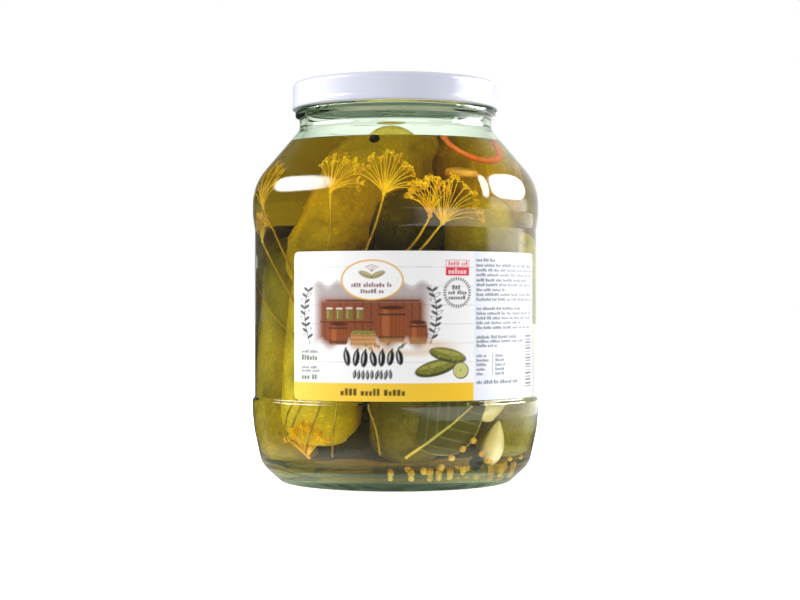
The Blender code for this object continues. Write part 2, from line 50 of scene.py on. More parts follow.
# The photograph's view
IMAGE_WIDTH, IMAGE_HEIGHT = 800, 600
CAMERA_DISTANCE, EYE_HEIGHT = 760.0, 78.3
PIXELS_PER_MM = 2.215
AXIS_PIXEL, HORIZON_PIXEL = 395.5, 306.0
SENSOR = 36.0

# The glass
BODY_RADIUS = 64.2
LABEL_PANEL_RADIUS = 63.2
NECK_RADIUS = 43.2
BEAD_RADIUS = 45.1
MOUTH_RADIUS = 40.2
GLASS_TOP = 177.2
WALL = 2.7
FLOOR_TOP = 6.4
PUNT_HEIGHT = 2.6
FLOOR_RIPPLE = 0.5
STIPPLE_ROUGHNESS = 0.55
STAND_RADIUS = 50.0
LOWER_RING = 34.5
PANEL_BOTTOM, PANEL_TOP = 38.0, 112.0
SHOULDER_TOP, SHOULDER_END = 131.3, 157.2
FINISH_BOTTOM = 166.3
THREAD_COUNT = 6
THREAD_SPAN = 34.0
THREAD_REACH = 1.2
THREAD_RISE = 1.6
THREAD_MIDDLE = 170.4
THREAD_HALF_HEIGHT = 1.2
JAR_SEGMENTS = 180
ARC_STEP = 7.0
LONGEST_STEP = 4.0
WELD = 0.0001

# Corners of the glass as radius, height and fillet: outside from the middle of the underside to the rim,
# and inside from the rim to the middle of the floor
OUTER_CORNERS = (
    (0, PUNT_HEIGHT, 0), (STAND_RADIUS - 7, PUNT_HEIGHT - 0.4, 3), (STAND_RADIUS - 3.5, 0, 1.5),
    (STAND_RADIUS + 1.5, 0, 3), (60.2, 8.0, 10), (63.4, 23.0, 16),
    (BODY_RADIUS, LOWER_RING - 4, 4), (BODY_RADIUS, LOWER_RING + 2.3, 1.2),
    (LABEL_PANEL_RADIUS, PANEL_BOTTOM, 1), (LABEL_PANEL_RADIUS, PANEL_TOP, 8),
    (BODY_RADIUS, PANEL_TOP + 7, 6), (BODY_RADIUS, SHOULDER_TOP + 1.2, 24),
    (NECK_RADIUS, SHOULDER_END, 4.5), (NECK_RADIUS, 162.2, 0.8), (BEAD_RADIUS, 163.2, 0.7),
    (BEAD_RADIUS, 165.2, 0.7), (NECK_RADIUS + 0.2, 166.2, 0.8), (NECK_RADIUS + 0.2, GLASS_TOP, 1.3),
)
INNER_RADIUS = LABEL_PANEL_RADIUS - WALL
INNER_CORNERS = (
    (MOUTH_RADIUS, GLASS_TOP, 1.2), (MOUTH_RADIUS, SHOULDER_END - 1.2, 5),
    (BODY_RADIUS - WALL - 0.2, SHOULDER_TOP - 0.8, 10), (BODY_RADIUS - WALL - 0.2, PANEL_TOP + 8, 8),
    (INNER_RADIUS, PANEL_TOP, 8), (INNER_RADIUS, 20, 12), (INNER_RADIUS - 2.2, FLOOR_TOP + 3.4, 9),
    (47, FLOOR_TOP - 0.2, 6), (0, FLOOR_TOP + 0.6, 0),
)

# The cap
CAP_RADIUS = 46.5
CAP_BOTTOM, CAP_TOP = 166.2, 178.2
TINPLATE = 0.6
CAP_CORNER = 2.2
CROWN_INNER_RADIUS = 38.5
CAP_PANEL = CAP_TOP - 0.9
CURL_RADIUS = 45.0
LUG_COUNT = 6
LUG_SPAN = 24.0
LUG_REACH = 1.1
LUG_HEIGHT = 1.4

# The brine
BRINE_LEVEL = 149.2
BRINE_OVERLAP = 0.15
MENISCUS_RISE, MENISCUS_WIDTH = 0.9, 1.2
# Strength of the brine's painted glow, which stands for the light that its haze scatters
BRINE_PAINTED_GLOW = 0.006

# The label: its ends as azimuths, its edges as heights, and its back and face as radii
LABEL_FROM, LABEL_TO = -42.2, 70.0
LABEL_BOTTOM, LABEL_TOP = 38.7, 101.2
LABEL_BACK, LABEL_FACE = 63.5, 63.8
LABEL_CORNER = 2.4
LABEL_COLUMNS, LABEL_ROWS = 420, 200
PRINT_EDGE = 0.16

# Each cucumber, as in the solids: azimuth, distance from the axis and height of its lower end, the same for
# its upper end, its thickness, and how far its middle bows outwards and sideways. Then its colours at the
# lower and the upper end: its own olive, made lighter or darker for how brightly that end is lit, so they
# hold painted light and painted shade as well.
CUCUMBERS = {
    "leaning": ((-56, 41, 82), (42, 12.5, 152.6), 34, 2, -3, (226, 190, 50), (240, 214, 86)),
    "front": ((5, 38, 12), (8, 37, 103), 32, 0, 3, (124, 106, 50), (78, 64, 24)),
    "front_left": ((-49, 37, 20), (-36, 38, 98), 33, 1, -2, (250, 222, 96), (156, 130, 40)),
    "left": ((-96, 38, 12), (-66, 37, 109), 33, 2, 3, (198, 174, 76), (76, 62, 16)),
    "left_back": ((-146, 41, 11), (-122, 41, 118), 34, 2, 0, (150, 132, 50), (128, 116, 60)),
    "back": ((172, 41, 10), (190, 39, 124), 35, 0, 3, (140, 126, 50), (130, 122, 64)),
    "right_back": ((124, 40, 11), (136, 40, 121), 34, 1, -2, (150, 130, 50), (196, 176, 84)),
    "right": ((80, 40, 14), (90, 40, 112), 33, 1, 2, (184, 172, 112), (255, 238, 160)),
    "front_right": ((47, 36, 42), (58, 38, 126), 34, 1, 0, (120, 104, 44), (236, 206, 106)),
    "middle": ((30, 3, 13), (170, 3, 110), 36, 2, 0, (110, 96, 40), (110, 96, 40)),
    "second_row": ((16, 20, 45), (9, 29, 127), 31, 0, 0, (26, 18, 9), (126, 112, 52)),
    "top_right": ((92, 37, 124), (-140, 22, 140), 31, 3, 2, (255, 226, 96), (170, 150, 66)),
}
CUCUMBER_RINGS, CUCUMBER_SIDES = 64, 44
WARTS = 90

# The core in their middle, as radius and height. Its dark colour is painted shade, with the brine's murk,
# deep among the cucumbers
CORE = ((0, 14), (24, 14), (30, 20), (32, 98), (22, 106), (0, 106))
CORE_SEGMENTS = 48

# Each dill head: azimuth, height and depth from the wall of its hub, reach of its rays, fan centre and
# half-width in degrees, then the lower end of its stem as azimuth and height
DILL_HEADS = {
    "dill_left": (-69.5, 121.5, 3.4, 14, -6, 62, -34, 72),
    "dill_left_low": (-73, 107, 3.4, 10, -8, 58, -43, 76),
    "dill_second": (-27, 126, 3.4, 12, 24, 66, -33, 80),
    "dill_centre": (-4.5, 125, 3.4, 13.5, 16, 74, -22, 80),
    "dill_right": (19.5, 113.2, 3.4, 17.5, 16, 72, -5, 88),
    "dill_right_back": (15.5, 116.8, 9.0, 12, -8, 50, 2, 98),
    "dill_low": (-43, 14.5, 6.9, 12, 2, 56, -60, 24),
}
FRONT_DEPTH = 3.4
RAY_COUNT = 18
RAY_SPREAD = 1.7
RAY_ARCH = 0.10
RAY_THICKNESS = 0.50
STEM_THICKNESS = 1.15
STEM_TINT = (0.50, 0.44, 0.8)
PEDICELS = 8
PEDICEL_LENGTH, PEDICEL_THICKNESS = 2.7, 0.32
FLOWER = 0.52
WALL_LOOK = 3.0

# Loose stems: azimuth and height of each end, and how far the middle swings in degrees
STEMS = {
    "stem_high": (-80, 88, -46, 66, -2),
    "stem_left": (-43, 40, -50.5, 19, -4),
    "stem_left_short": (-38, 42, -47, 27, 0),
    "stem_second": (-31, 38, -41, 16, 0),
    "stem_third": (-24, 38, -27.5, 15, 0),
    "stem_centre": (-11, 36, -6.5, 16.5, 1),
}
STEM_DEPTH = 2.6
LOOSE_STEM_THICKNESS = 1.05

# Azimuth, distance from the axis and height of each mustard seed in the solids, and how many more there are
MUSTARD_DIAMETER = 3.0
MUSTARD_SEEDS = (
    (33.5, 57.8, 21.8), (28.7, 57.4, 18.5), (24.0, 56.5, 14.8), (20.2, 54.0, 10.9), (38.6, 57.0, 16.0),
    (42.0, 56.6, 13.0), (31.5, 52.0, 9.5), (26.5, 48.5, 8.6), (21.5, 47.0, 8.4), (18.0, 43.5, 8.3),
    (7.8, 45.5, 8.3), (-2.4, 46.0, 8.3),
)
FURTHER_SEEDS = 16

# Azimuth, distance from the axis, height and diameter
SPICES = {"allspice_berry": (39.5, 50.8, 11.9, 6.4), "peppercorn": (-11.9, 41.2, 147.4, 4.4)}

# The leaf: azimuth and height of the stalk's end, lean from upright, size, the stalk's share of the length
LEAF_FOOT = (4.2, 15.0)
LEAF_LEAN = 54.0
LEAF_LENGTH, LEAF_WIDTH, LEAF_THICKNESS = 46.0, 25.0, 0.5
LEAF_STALK, LEAF_STALK_WIDTH = 0.16, 1.2
LEAF_DEPTH = 4.6
LEAF_WAVE = 0.35
LEAF_ROWS, LEAF_COLUMNS = 96, 40
RIB_SPACING = 5.6

# Garlic cloves: azimuth, distance from the axis and height of the middle, then length, thickness and lean
GARLIC_CLOVES = {
    "garlic_clove_low": (50.0, 52.0, 20.0, 20, 12.5, 10),
    "garlic_clove_high": (48, 52.0, 35.0, 20, 11.5, 72),
}
GARLIC_RINGS, GARLIC_SIDES = 34, 32

# The carrot strip curls down from the surface, turning so far to each side; the coin lies under it
CURL_AZIMUTH, CURL_SWING = 50, 21
CURL_TOP, CURL_DROP = 149.4, 11.4
CURL_FROM_AXIS, CURL_REACH = 39.5, 9.5
CURL_TURN = 96
CURL_WIDTH = 3.4
CURL_STEPS = 60
COIN = (34.0, 47.0, 133.0)
COIN_RADIUS, COIN_THICKNESS = 6.8, 2.4

# The soft lamps: place, width, height and power. They look at the middle of the jar.
LAMPS = {
    "left_softbox": ((-1.0, 0.1, 0.42), 0.9, 0.6, 9.5),
    "right_softbox": ((1.0, 0.25, 0.42), 0.9, 0.6, 7),
    "front_fill": ((-0.2, -1.4, 0.55), 1.0, 0.8, 11.5),
}
LAMP_AIM = Vector((0, 0, 0.12))

# How bright the studio is for what stands in the brine: from below, from above, and off the floor
CONTENTS_LIGHT = (3.7, 5.6)
FLOOR_LIGHT = 3.9

# The windows that the glass mirrors, by where the shoulder shows them: side, middle and half-width round it,
# middle and half-height, softness, and brightness
WINDOWS = (
    (-1, -0.08, 0.46, 0.50, 0.22, 0.8, 20.0),
    (1, 0.235, 0.365, 0.43, 0.34, 0.45, 24.0),
    (1, -0.235, 0.065, 0.41, 0.32, 0.45, 18.0),
    (1, 0.22, 0.40, 0.0, 0.17, 0.6, 3.2),
)
MIRROR_LIFT = 0.06


def rgb(red, green, blue):
    """A screen colour, 0 to 255, as the linear colour that a shader takes."""
    screen = (red / 255, green / 255, blue / 255)
    return tuple(((c + 0.055) / 1.055) ** 2.4 if c > 0.04 else c / 12.92 for c in screen)


# Placing

def polar(azimuth, radius, height):
    return Vector((radius * sin(radians(azimuth)), -radius * cos(radians(azimuth)), height))


def sideways(place):
    """The level directions away from the axis and round it at a place."""
    out = Vector((place.x, place.y, 0)).normalized()
    return out, Vector((-out.y, out.x, 0))


def wander(*place):
    """A smooth noise from about -1 to 1."""
    return noise.noise(Vector(place))


def mixed(first, second, share):
    return tuple(a + (b - a) * share for a, b in zip(first, second))


def shares(steps):
    """Even steps from 0 to 1."""
    return [i / steps for i in range(steps + 1)]


def angles(sides):
    return [2 * pi * k / sides for k in range(sides)]


def spokes(direction, sides):
    """The angle and the unit spoke of each side round a direction."""
    turn = direction.to_track_quat("Z", "Y")
    return [(angle, turn @ Vector((cos(angle), sin(angle), 0))) for angle in angles(sides)]


# Meshes

def tinted_mesh():
    """A new mesh with a colour on each point, which its material multiplies in; and what adds a point."""
    bm = bmesh.new()
    layer = bm.verts.layers.float_color.new("tint")

    def add_point(place, colour):
        point = bm.verts.new(place)
        point[layer] = (*colour, 1)
        return point

    return bm, layer, add_point


def add_object(name, data):
    made = bpy.data.objects.new(name, data)
    bpy.context.scene.collection.objects.link(made)
    return made


def add_piece(name, mesh, finish, replaced, smooth_angle):
    """Adds a mesh in metres as a piece that rides on the one body and stands for some of its nodes."""
    mesh.shade_smooth()
    mesh.set_sharp_from_angle(angle=radians(smooth_angle))
    mesh.materials.append(finish.material)
    piece = add_object(name, mesh)
    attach(piece, "root")
    if replaced:
        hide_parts(*replaced)


def add_body(name, bm, finish, replaced, smooth_angle=60.0):
    """Adds closed shapes in millimetres as a piece."""
    bmesh.ops.scale(bm, vec=(MM, MM, MM), verts=bm.verts)
    bmesh.ops.recalc_face_normals(bm, faces=bm.faces)
    if bm.calc_volume(signed=True) < 0:
        bmesh.ops.reverse_faces(bm, faces=bm.faces)
    mesh = bpy.data.meshes.new(name)
    bm.to_mesh(mesh)
    bm.free()
    add_piece(name, mesh, finish, replaced, smooth_angle)


def corner_arc(before, corner, after, fillet):
    """Points of the round that a fillet makes at one corner of an outline."""
    back, ahead = (before - corner).normalized(), (after - corner).normalized()
    half = back.angle(ahead) / 2
    if fillet == 0 or half > radians(89.5):
        return [corner]
    centre = corner + (back + ahead).normalized() * (fillet / sin(half))
    spoke = corner + back * (fillet / tan(half)) - centre
    turn = pi - 2 * half
    if back.x * ahead.y > back.y * ahead.x:
        turn = -turn
    steps = max(2, ceil(degrees(abs(turn)) / ARC_STEP))
    return [centre + Matrix.Rotation(turn * share, 2) @ spoke for share in shares(steps)]


def rounded(corners):
    """An outline of (radius, height, fillet) corners with each corner rounded."""
    places = [Vector(corner[:2]) for corner in corners]
    outline = [places[0]]
    for before, place, after, corner in zip(places, places[1:], places[2:], corners[1:]):
        outline += corner_arc(before, place, after, corner[2])
    return outline + [places[-1]]


def with_short_steps(outline, longest=LONGEST_STEP):
    """The same outline with its long stretches divided."""
    fine = [outline[0]]
    for point, following in zip(outline, outline[1:]):
        steps = max(1, ceil((following - point).length / longest))
        fine += [point.lerp(following, share) for share in shares(steps)[1:]]
    return fine


def bridge(bm, rings):
    """Joins rings of points by faces. A ring that is one point over and over closes an end."""
    for low, high in zip(rings, rings[1:]):
        for i in range(len(low)):
            j = (i + 1) % len(low)
            bm.faces.new(tuple(dict.fromkeys((low[i], low[j], high[j], high[i]))))


def turned(bm, outline, segments=JAR_SEGMENTS, shift=None):
    """Adds a closed solid whose outline starts and ends on the axis. shift moves each point's radius."""
    rings = []
    for index, (radius, height) in enumerate(outline):
        if radius < WELD:
            rings.append([bm.verts.new((0, 0, height))] * segments)
            continue
        ring = []
        for i in range(segments):
            azimuth = 360 * i / segments
            moved = radius + (shift(index, azimuth, radius, height) if shift else 0)
            ring.append(bm.verts.new(polar(azimuth, moved, height)))
        rings.append(ring)
    bridge(bm, rings)


def tube(bm, points, radii, sides, flatness=1.0):
    """Adds a closed tube along points, whose frame is carried along so that it doesn't twist."""
    direction = (points[1] - points[0]).normalized()
    across = direction.orthogonal().normalized()
    rings = []
    for i, (point, radius) in enumerate(zip(points, radii)):
        ahead = (points[min(i + 1, len(points) - 1)] - points[max(i - 1, 0)]).normalized()
        across = (across - ahead * across.dot(ahead)).normalized()
        other = ahead.cross(across)
        rings.append([
            bm.verts.new(point + radius * (cos(angle) * across + flatness * sin(angle) * other))
            for angle in angles(sides)
        ])
    start = bm.verts.new(points[0] - direction * radii[0] * 0.5)
    end = bm.verts.new(points[-1] + (points[-1] - points[-2]).normalized() * radii[-1] * 0.5)
    rings = [[start] * sides, *rings, [end] * sides]
    bridge(bm, rings)
    return {point for ring in rings for point in ring}


def bead(bm, centre, radius, detail=1):
    place = Matrix.Translation(centre)
    return bmesh.ops.create_icosphere(bm, subdivisions=detail, radius=radius, matrix=place)["verts"]


# Materials

class Nodes:
    """A node tree, with short ways to make its nodes. Each gives back the output of the last node."""

    def __init__(self, tree):
        self.nodes, self.links = tree.nodes, tree.links

    def put(self, socket, value):
        """Sets a socket to a value, or links it to the output that is given."""
        if isinstance(value, bpy.types.NodeSocket):
            self.links.new(value, socket)
        else:
            socket.default_value = value

    def node(self, kind, output, inputs, **settings):
        made = self.nodes.new("ShaderNode" + kind)
        for name, value in settings.items():
            setattr(made, name, value)
        for name, value in inputs.items():
            self.put(made.inputs[name], value)
        return made.outputs[output]

    def math(self, operation, *values):
        return self.node("Math", "Value", dict(enumerate(values)), operation=operation)

    def fade(self, source, start, end, low, high, curve="SMOOTHSTEP"):
        """A level that goes from low to high as source goes from start to end."""
        span = {"Value": source, "From Min": start, "From Max": end, "To Min": low, "To Max": high}
        return self.node("MapRange", "Result", span, interpolation_type=curve)

    def where(self, output):
        """The direction or place that is being shaded, as x, y and z."""
        split = self.nodes.new("ShaderNodeSeparateXYZ")
        self.put(split.inputs["Vector"], self.node("TexCoord", output, {}))
        return tuple(split.outputs)

    def from_axis(self, x, y):
        return self.math("SQRT", self.math("ADD", self.math("MULTIPLY", x, x), self.math("MULTIPLY", y, y)))


class Finish(Nodes):
    """A material, and the few nodes that most finishes here are made of."""

    def __init__(self, name, roughness, colour=(0.8, 0.8, 0.8)):
        self.material = bpy.data.materials.new(name)
        self.material.use_nodes = True
        super().__init__(self.material.node_tree)
        self.shader = self.nodes["Principled BSDF"]
        self.feed("Roughness", roughness)
        self.feed("Base Color", (*colour, 1))

    def feed(self, socket, value):
        self.put(self.shader.inputs[socket], value)

    def noise(self, size, detail=3.0, distortion=0.0):
        """A noise whose lumps are about size millimetres across, in the object's own space."""
        where = self.node("TexCoord", "Object", {})
        lumps = {"Vector": where, "Scale": 1 / (size * MM), "Detail": detail, "Distortion": distortion}
        return self.node("TexNoise", "Fac", lumps)

    def ramp(self, source, *stops):
        """Colours, or single values, at places along a source from 0 to 1."""
        ramp = self.nodes.new("ShaderNodeValToRGB")
        while len(ramp.color_ramp.elements) < len(stops):
            ramp.color_ramp.elements.new(0.5)
        for element, (place, colour) in zip(ramp.color_ramp.elements, stops):
            element.position = place
            element.color = (*colour, 1) if isinstance(colour, tuple) else (colour, colour, colour, 1)
        self.put(ramp.inputs["Fac"], source)
        return ramp.outputs["Color"]

    def times(self, first, second):
        values = {"Factor": 1.0, "A": first, "B": second}
        return self.node("Mix", "Result", values, data_type="RGBA", blend_type="MULTIPLY")

    def tint(self):
        return self.node("VertexColor", "Color", {}, layer_name="tint")

    def bump(self, source, height):
        relief = {"Distance": height * MM, "Strength": 1.0, "Height": source}
        self.feed("Normal", self.node("Bump", "Normal", relief))

    def clear(self, ior, depth_colour, density):
        """Makes it a clear body that takes its colour from the light's path through it."""
        self.feed("Transmission Weight", 1.0)
        self.feed("IOR", ior)
        depth = self.node("VolumeAbsorption", "Volume", {"Color": (*depth_colour, 1), "Density": density})
        self.put(self.nodes["Material Output"].inputs["Volume"], depth)


def mottled(name, roughness, lumps, stops, grain, grain_height, tinted=False):
    """A finish whose colour wanders between stops, times the mesh's own colour where it is tinted, over a
    fine bump. lumps and grain are the size and detail of their noises."""
    finish = Finish(name, roughness)
    colour = finish.ramp(finish.noise(*lumps), *stops)
    finish.feed("Base Color", finish.times(colour, finish.tint()) if tinted else colour)
    finish.bump(finish.noise(*grain), grain_height)
    return finish


FAINT_MOTTLE = ((0.3, 0.86), (0.7, 1.12))


def glass_finish():
    """Clear soda glass, which looks green through its thick base, and is stippled on its underside."""
    finish = Finish("jar_glass", 0.0, (0.99, 1.0, 0.99))
    finish.clear(1.5, (0.46, 0.88, 0.28), 44.0)
    x, y, z = finish.where("Object")
    levels = [
        finish.fade(source, edge * MM, (edge + 0.4) * MM, level, 0.0, "LINEAR")
        for source, edge, level in (
            (z, FLOOR_TOP / 2, 1.0),
            (finish.from_axis(x, y), STAND_RADIUS + 0.8, STIPPLE_ROUGHNESS),
        )
    ]
    finish.feed("Roughness", finish.math("MULTIPLY", *levels))
    return finish


def brine_finish():
    """Yellow brine. The faint glow of its face is painted light, standing for the light that its haze
    scatters.
    """
    finish = Finish("brine", 0.0, (1.0, 1.0, 1.0))
    finish.clear(1.34, (0.886, 0.836, 0.35), 122.0)
    finish.feed("Emission Color", (0.72, 0.80, 1.0, 1))
    finish.feed("Emission Strength", BRINE_PAINTED_GLOW)
    return finish


def pickle_finish():
    """Cured cucumber skin: blotched olive, with pale specks and a wet look."""
    finish = Finish("pickle_skin", 0.32)
    blotches = finish.ramp(
        finish.noise(22, 5.0, 0.6),
        (0.30, (0.42, 0.42, 0.30)), (0.48, (0.85, 0.85, 0.72)),
        (0.62, (1.0, 1.0, 0.9)), (0.75, (1.2, 1.12, 1.0)),
    )
    specks = finish.ramp(finish.noise(1.3, 2.0), (0.35, 0.86), (0.62, 1.0), (0.72, 1.3))
    finish.feed("Base Color", finish.times(finish.times(finish.tint(), blotches), specks))
    finish.feed("Roughness", finish.ramp(finish.noise(6), (0.3, 0.22), (0.7, 0.45)))
    finish.bump(finish.noise(1.1, 4.0), 0.18)
    return finish


# The glass and the brine

INNER_WALL = rounded([(MOUTH_RADIUS, GLASS_TOP + 1, 0), *INNER_CORNERS[1:]])


def wall_radius(height):
    """Radius of the inside of the glass at a height."""
    for high, low in zip(INNER_WALL, INNER_WALL[1:]):
        if low.y <= height <= high.y and high.y - low.y > WELD:
            return low.x + (high.x - low.x) * (height - low.y) / (high.y - low.y)
    return MOUTH_RADIUS


def on_wall(azimuth, height, depth):
    """The point at an azimuth and height, this far in from the inside of the glass just there."""
    nearby = (height - WALL_LOOK, height, height + WALL_LOOK)
    return polar(azimuth, min(wall_radius(z) for z in nearby) - depth, height)


def thread_bulge(azimuth, height):
    """How far a thread stands out of the finish at a place."""
    span = 360 / THREAD_COUNT
    along = (azimuth + span / 2) % span - span / 2
    across = abs(height - THREAD_MIDDLE - THREAD_RISE * along / THREAD_SPAN) / THREAD_HALF_HEIGHT
    if abs(along) > THREAD_SPAN / 2 or across > 1:
        return 0.0
    return THREAD_REACH * min(1.0, (THREAD_SPAN / 2 - abs(along)) / 4) * sqrt(1 - across ** 2)


def make_jar():
    """One closed body of glass whose inner face is slightly uneven, as blown glass is."""
    outside = with_short_steps(rounded([*OUTER_CORNERS, (MOUTH_RADIUS, GLASS_TOP, 0)])[:-1])
    finish_start = next(i for i, p in enumerate(outside) if p.y > FINISH_BOTTOM and p.x > NECK_RADIUS)
    outside = outside[:finish_start] + with_short_steps(outside[finish_start:], 0.4)
    inside = with_short_steps(rounded([(NECK_RADIUS, GLASS_TOP, 0), *INNER_CORNERS])[1:])

    def shift(index, azimuth, radius, height):
        if index < len(outside):
            on_finish = height > FINISH_BOTTOM and radius > NECK_RADIUS - 0.5
            return thread_bulge(azimuth, height) if on_finish else 0.0
        if radius < MOUTH_RADIUS - 2 or height > SHOULDER_END:
            return 0.0
        around = polar(azimuth, radius, height)
        return 0.22 * wander(*around / 24) + 0.06 * wander(*around / 9)

    bm = bmesh.new()
    turned(bm, outside + inside, shift=shift)
    for v in bm.verts:
        from_edge = STAND_RADIUS - 4 - v.co.xy.length
        if v.co.z < FLOOR_TOP + 1.5 and from_edge > 0:
            v.co.z += FLOOR_RIPPLE * min(1.0, from_edge / 5) * wander(v.co.x / 6, v.co.y / 6, v.co.z)
    add_body("jar_glass", bm, glass_finish(), ["jar"], 30)


def make_brine():
    """The liquid: it reaches a little into the wall, and creeps up the glass at its edge."""
    side = []
    for radius, height in with_short_steps(INNER_WALL):
        if height <= BRINE_LEVEL:
            out, down = (0.3, 1) if height < 12 else (1, 0)
            side.append(Vector((radius + BRINE_OVERLAP * out, height - BRINE_OVERLAP * down)))
    side[-1].x = 0
    edge, rim = wall_radius(BRINE_LEVEL), BRINE_LEVEL + MENISCUS_RISE
    top = [Vector((wall_radius(rim) + BRINE_OVERLAP, rim))]
    for share in shares(13)[1:-1]:
        inward = edge * share ** 2.2
        top.append(Vector((edge - inward, BRINE_LEVEL + MENISCUS_RISE * exp(-inward / MENISCUS_WIDTH))))
    bm = bmesh.new()
    turned(bm, side[::-1] + top + [Vector((0, BRINE_LEVEL))])
    add_body("brine", bm, brine_finish(), [])


# The cap

def add_lug(bm, middle):
    """A short thickening of the cap's curl that reaches under a thread."""
    low, high = CAP_BOTTOM + 0.3, CAP_BOTTOM + 0.3 + LUG_HEIGHT
    sections = []
    for share in shares(12):
        azimuth = middle + LUG_SPAN * (share - 0.5)
        tip = CURL_RADIUS - LUG_REACH * sin(pi * (0.08 + 0.84 * share)) ** 0.5
        corners = ((CURL_RADIUS + 0.6, low), (tip, low + 0.3), (tip, high - 0.3), (CURL_RADIUS + 0.6, high))
        sections.append([bm.verts.new(polar(azimuth, *corner)) for corner in corners])
    bridge(bm, sections)
    bm.faces.new(sections[0][::-1])
    bm.faces.new(sections[-1])


def make_cap():
    inner, under_crown = CAP_RADIUS - TINPLATE, CAP_TOP - TINPLATE
    outline = rounded([
        (0, CAP_PANEL, 0), (CROWN_INNER_RADIUS - 14, CAP_PANEL, 0.6),
        (CROWN_INNER_RADIUS - 13.2, CAP_PANEL - 0.5, 0.6), (CROWN_INNER_RADIUS - 1.2, CAP_PANEL - 0.5, 0.6),
        (CROWN_INNER_RADIUS, CAP_TOP, 0.6), (CAP_RADIUS - 0.2, CAP_TOP, CAP_CORNER),
        (CAP_RADIUS - 0.2, CAP_BOTTOM + 3.2, 1), (CAP_RADIUS, CAP_BOTTOM + 2.2, 0.8),
        (CAP_RADIUS, CAP_BOTTOM, 0.8), (CURL_RADIUS, CAP_BOTTOM, 0.7), (CURL_RADIUS, CAP_BOTTOM + 1.7, 0.5),
        (inner - 0.1, CAP_BOTTOM + 2.0, 0), (inner - 0.2, under_crown, CAP_CORNER - TINPLATE),
        (CROWN_INNER_RADIUS + 0.8, under_crown, 0),
        (CROWN_INNER_RADIUS - 0.8, CAP_PANEL - 0.5 - TINPLATE, 0), (0, CAP_PANEL - 0.5 - TINPLATE, 0),
    ])
    bm = bmesh.new()
    turned(bm, with_short_steps(outline))
    for i in range(LUG_COUNT):
        add_lug(bm, 360 * (i + 0.5) / LUG_COUNT)
    # White enamel with a faint blue; the blue is painted light, the cool cast of the light on the lid
    cool_cast_whites = ((0.3, rgb(220, 223, 240)), (0.7, rgb(226, 229, 244)))
    enamel = mottled("lid_enamel", 0.22, (30,), cool_cast_whites, (0.9, 2.0), 0.01)
    add_body("cap", bm, enamel, ["lid"], 50)


# The cucumbers

def add_cucumber(bm, add_point, seed, lower_end, upper_end, thickness, bow_out, bow_side, *colours):
    """A bowed, blunt-ended cucumber with an uneven flank and warts."""
    draw = random.Random(seed)
    lower, upper = polar(*lower_end), polar(*upper_end)
    out, side = sideways((lower + upper) / 2)
    bow = out * bow_out + side * bow_side
    length = (upper - lower).length
    low_lit_colour, high_lit_colour = (rgb(*colour) for colour in colours)
    warts = [
        (draw.uniform(0.05, 0.95), draw.uniform(0, 2 * pi), draw.uniform(1.0, 2.1), draw.uniform(0.25, 0.7))
        for _ in range(WARTS)
    ]
    rings = [[add_point(lower, low_lit_colour)] * CUCUMBER_SIDES]
    for i in range(1, CUCUMBER_RINGS + 1):
        share = (1 - cos(pi * i / (CUCUMBER_RINGS + 1))) / 2
        centre = lower.lerp(upper, share) + bow * (4 * share * (1 - share))
        blunt = (1 - abs(2 * share - 1) ** 7) ** 0.5
        smooth_radius = thickness / 2 * blunt
        near = [w for w in warts if abs(w[0] - share) * length < w[2] * 2]
        # The tint runs from the lower end's colour to the upper end's, painting light and shade along the
        # cucumber
        colour = mixed(low_lit_colour, high_lit_colour, share ** 4)
        ring = []
        for angle, spoke in spokes((upper - lower) + bow * (4 * (1 - 2 * share)), CUCUMBER_SIDES):
            place = centre + spoke * smooth_radius
            radius = smooth_radius * (1 + 0.035 * wander(*place / 16) + 0.012 * cos(3 * angle + seed))
            radius += 0.25 * wander(*place / 4)
            for along, about, size, height in near:
                around = (angle - about + pi) % (2 * pi) - pi
                away = ((along - share) * length) ** 2 + (around * smooth_radius) ** 2
                radius += height * exp(-away / (size * 0.62) ** 2) * min(1.0, blunt * 1.4)
            ring.append(add_point(centre + spoke * radius, colour))
        rings.append(ring)
    rings.append([add_point(upper, high_lit_colour)] * CUCUMBER_SIDES)
    bridge(bm, rings)


def make_pickles():
    """The whole cucumbers, and the core that the solids have in their middle, painted dark for the shade and
    murk deep among them.
    """
    bm, layer, add_point = tinted_mesh()
    for seed, shape in enumerate(CUCUMBERS.values()):
        add_cucumber(bm, add_point, seed, *shape)
    before = len(bm.verts)
    turned(bm, with_short_steps([Vector(place) for place in CORE], 8), CORE_SEGMENTS)
    # Painted shade: the core is coloured dark olive for the shade and murk deep among the cucumbers
    for v in list(bm.verts)[before:]:
        v[layer] = (*rgb(70, 62, 28), 1)
    add_body("cucumbers", bm, pickle_finish(), ["pickles"], 80)


# The herbs

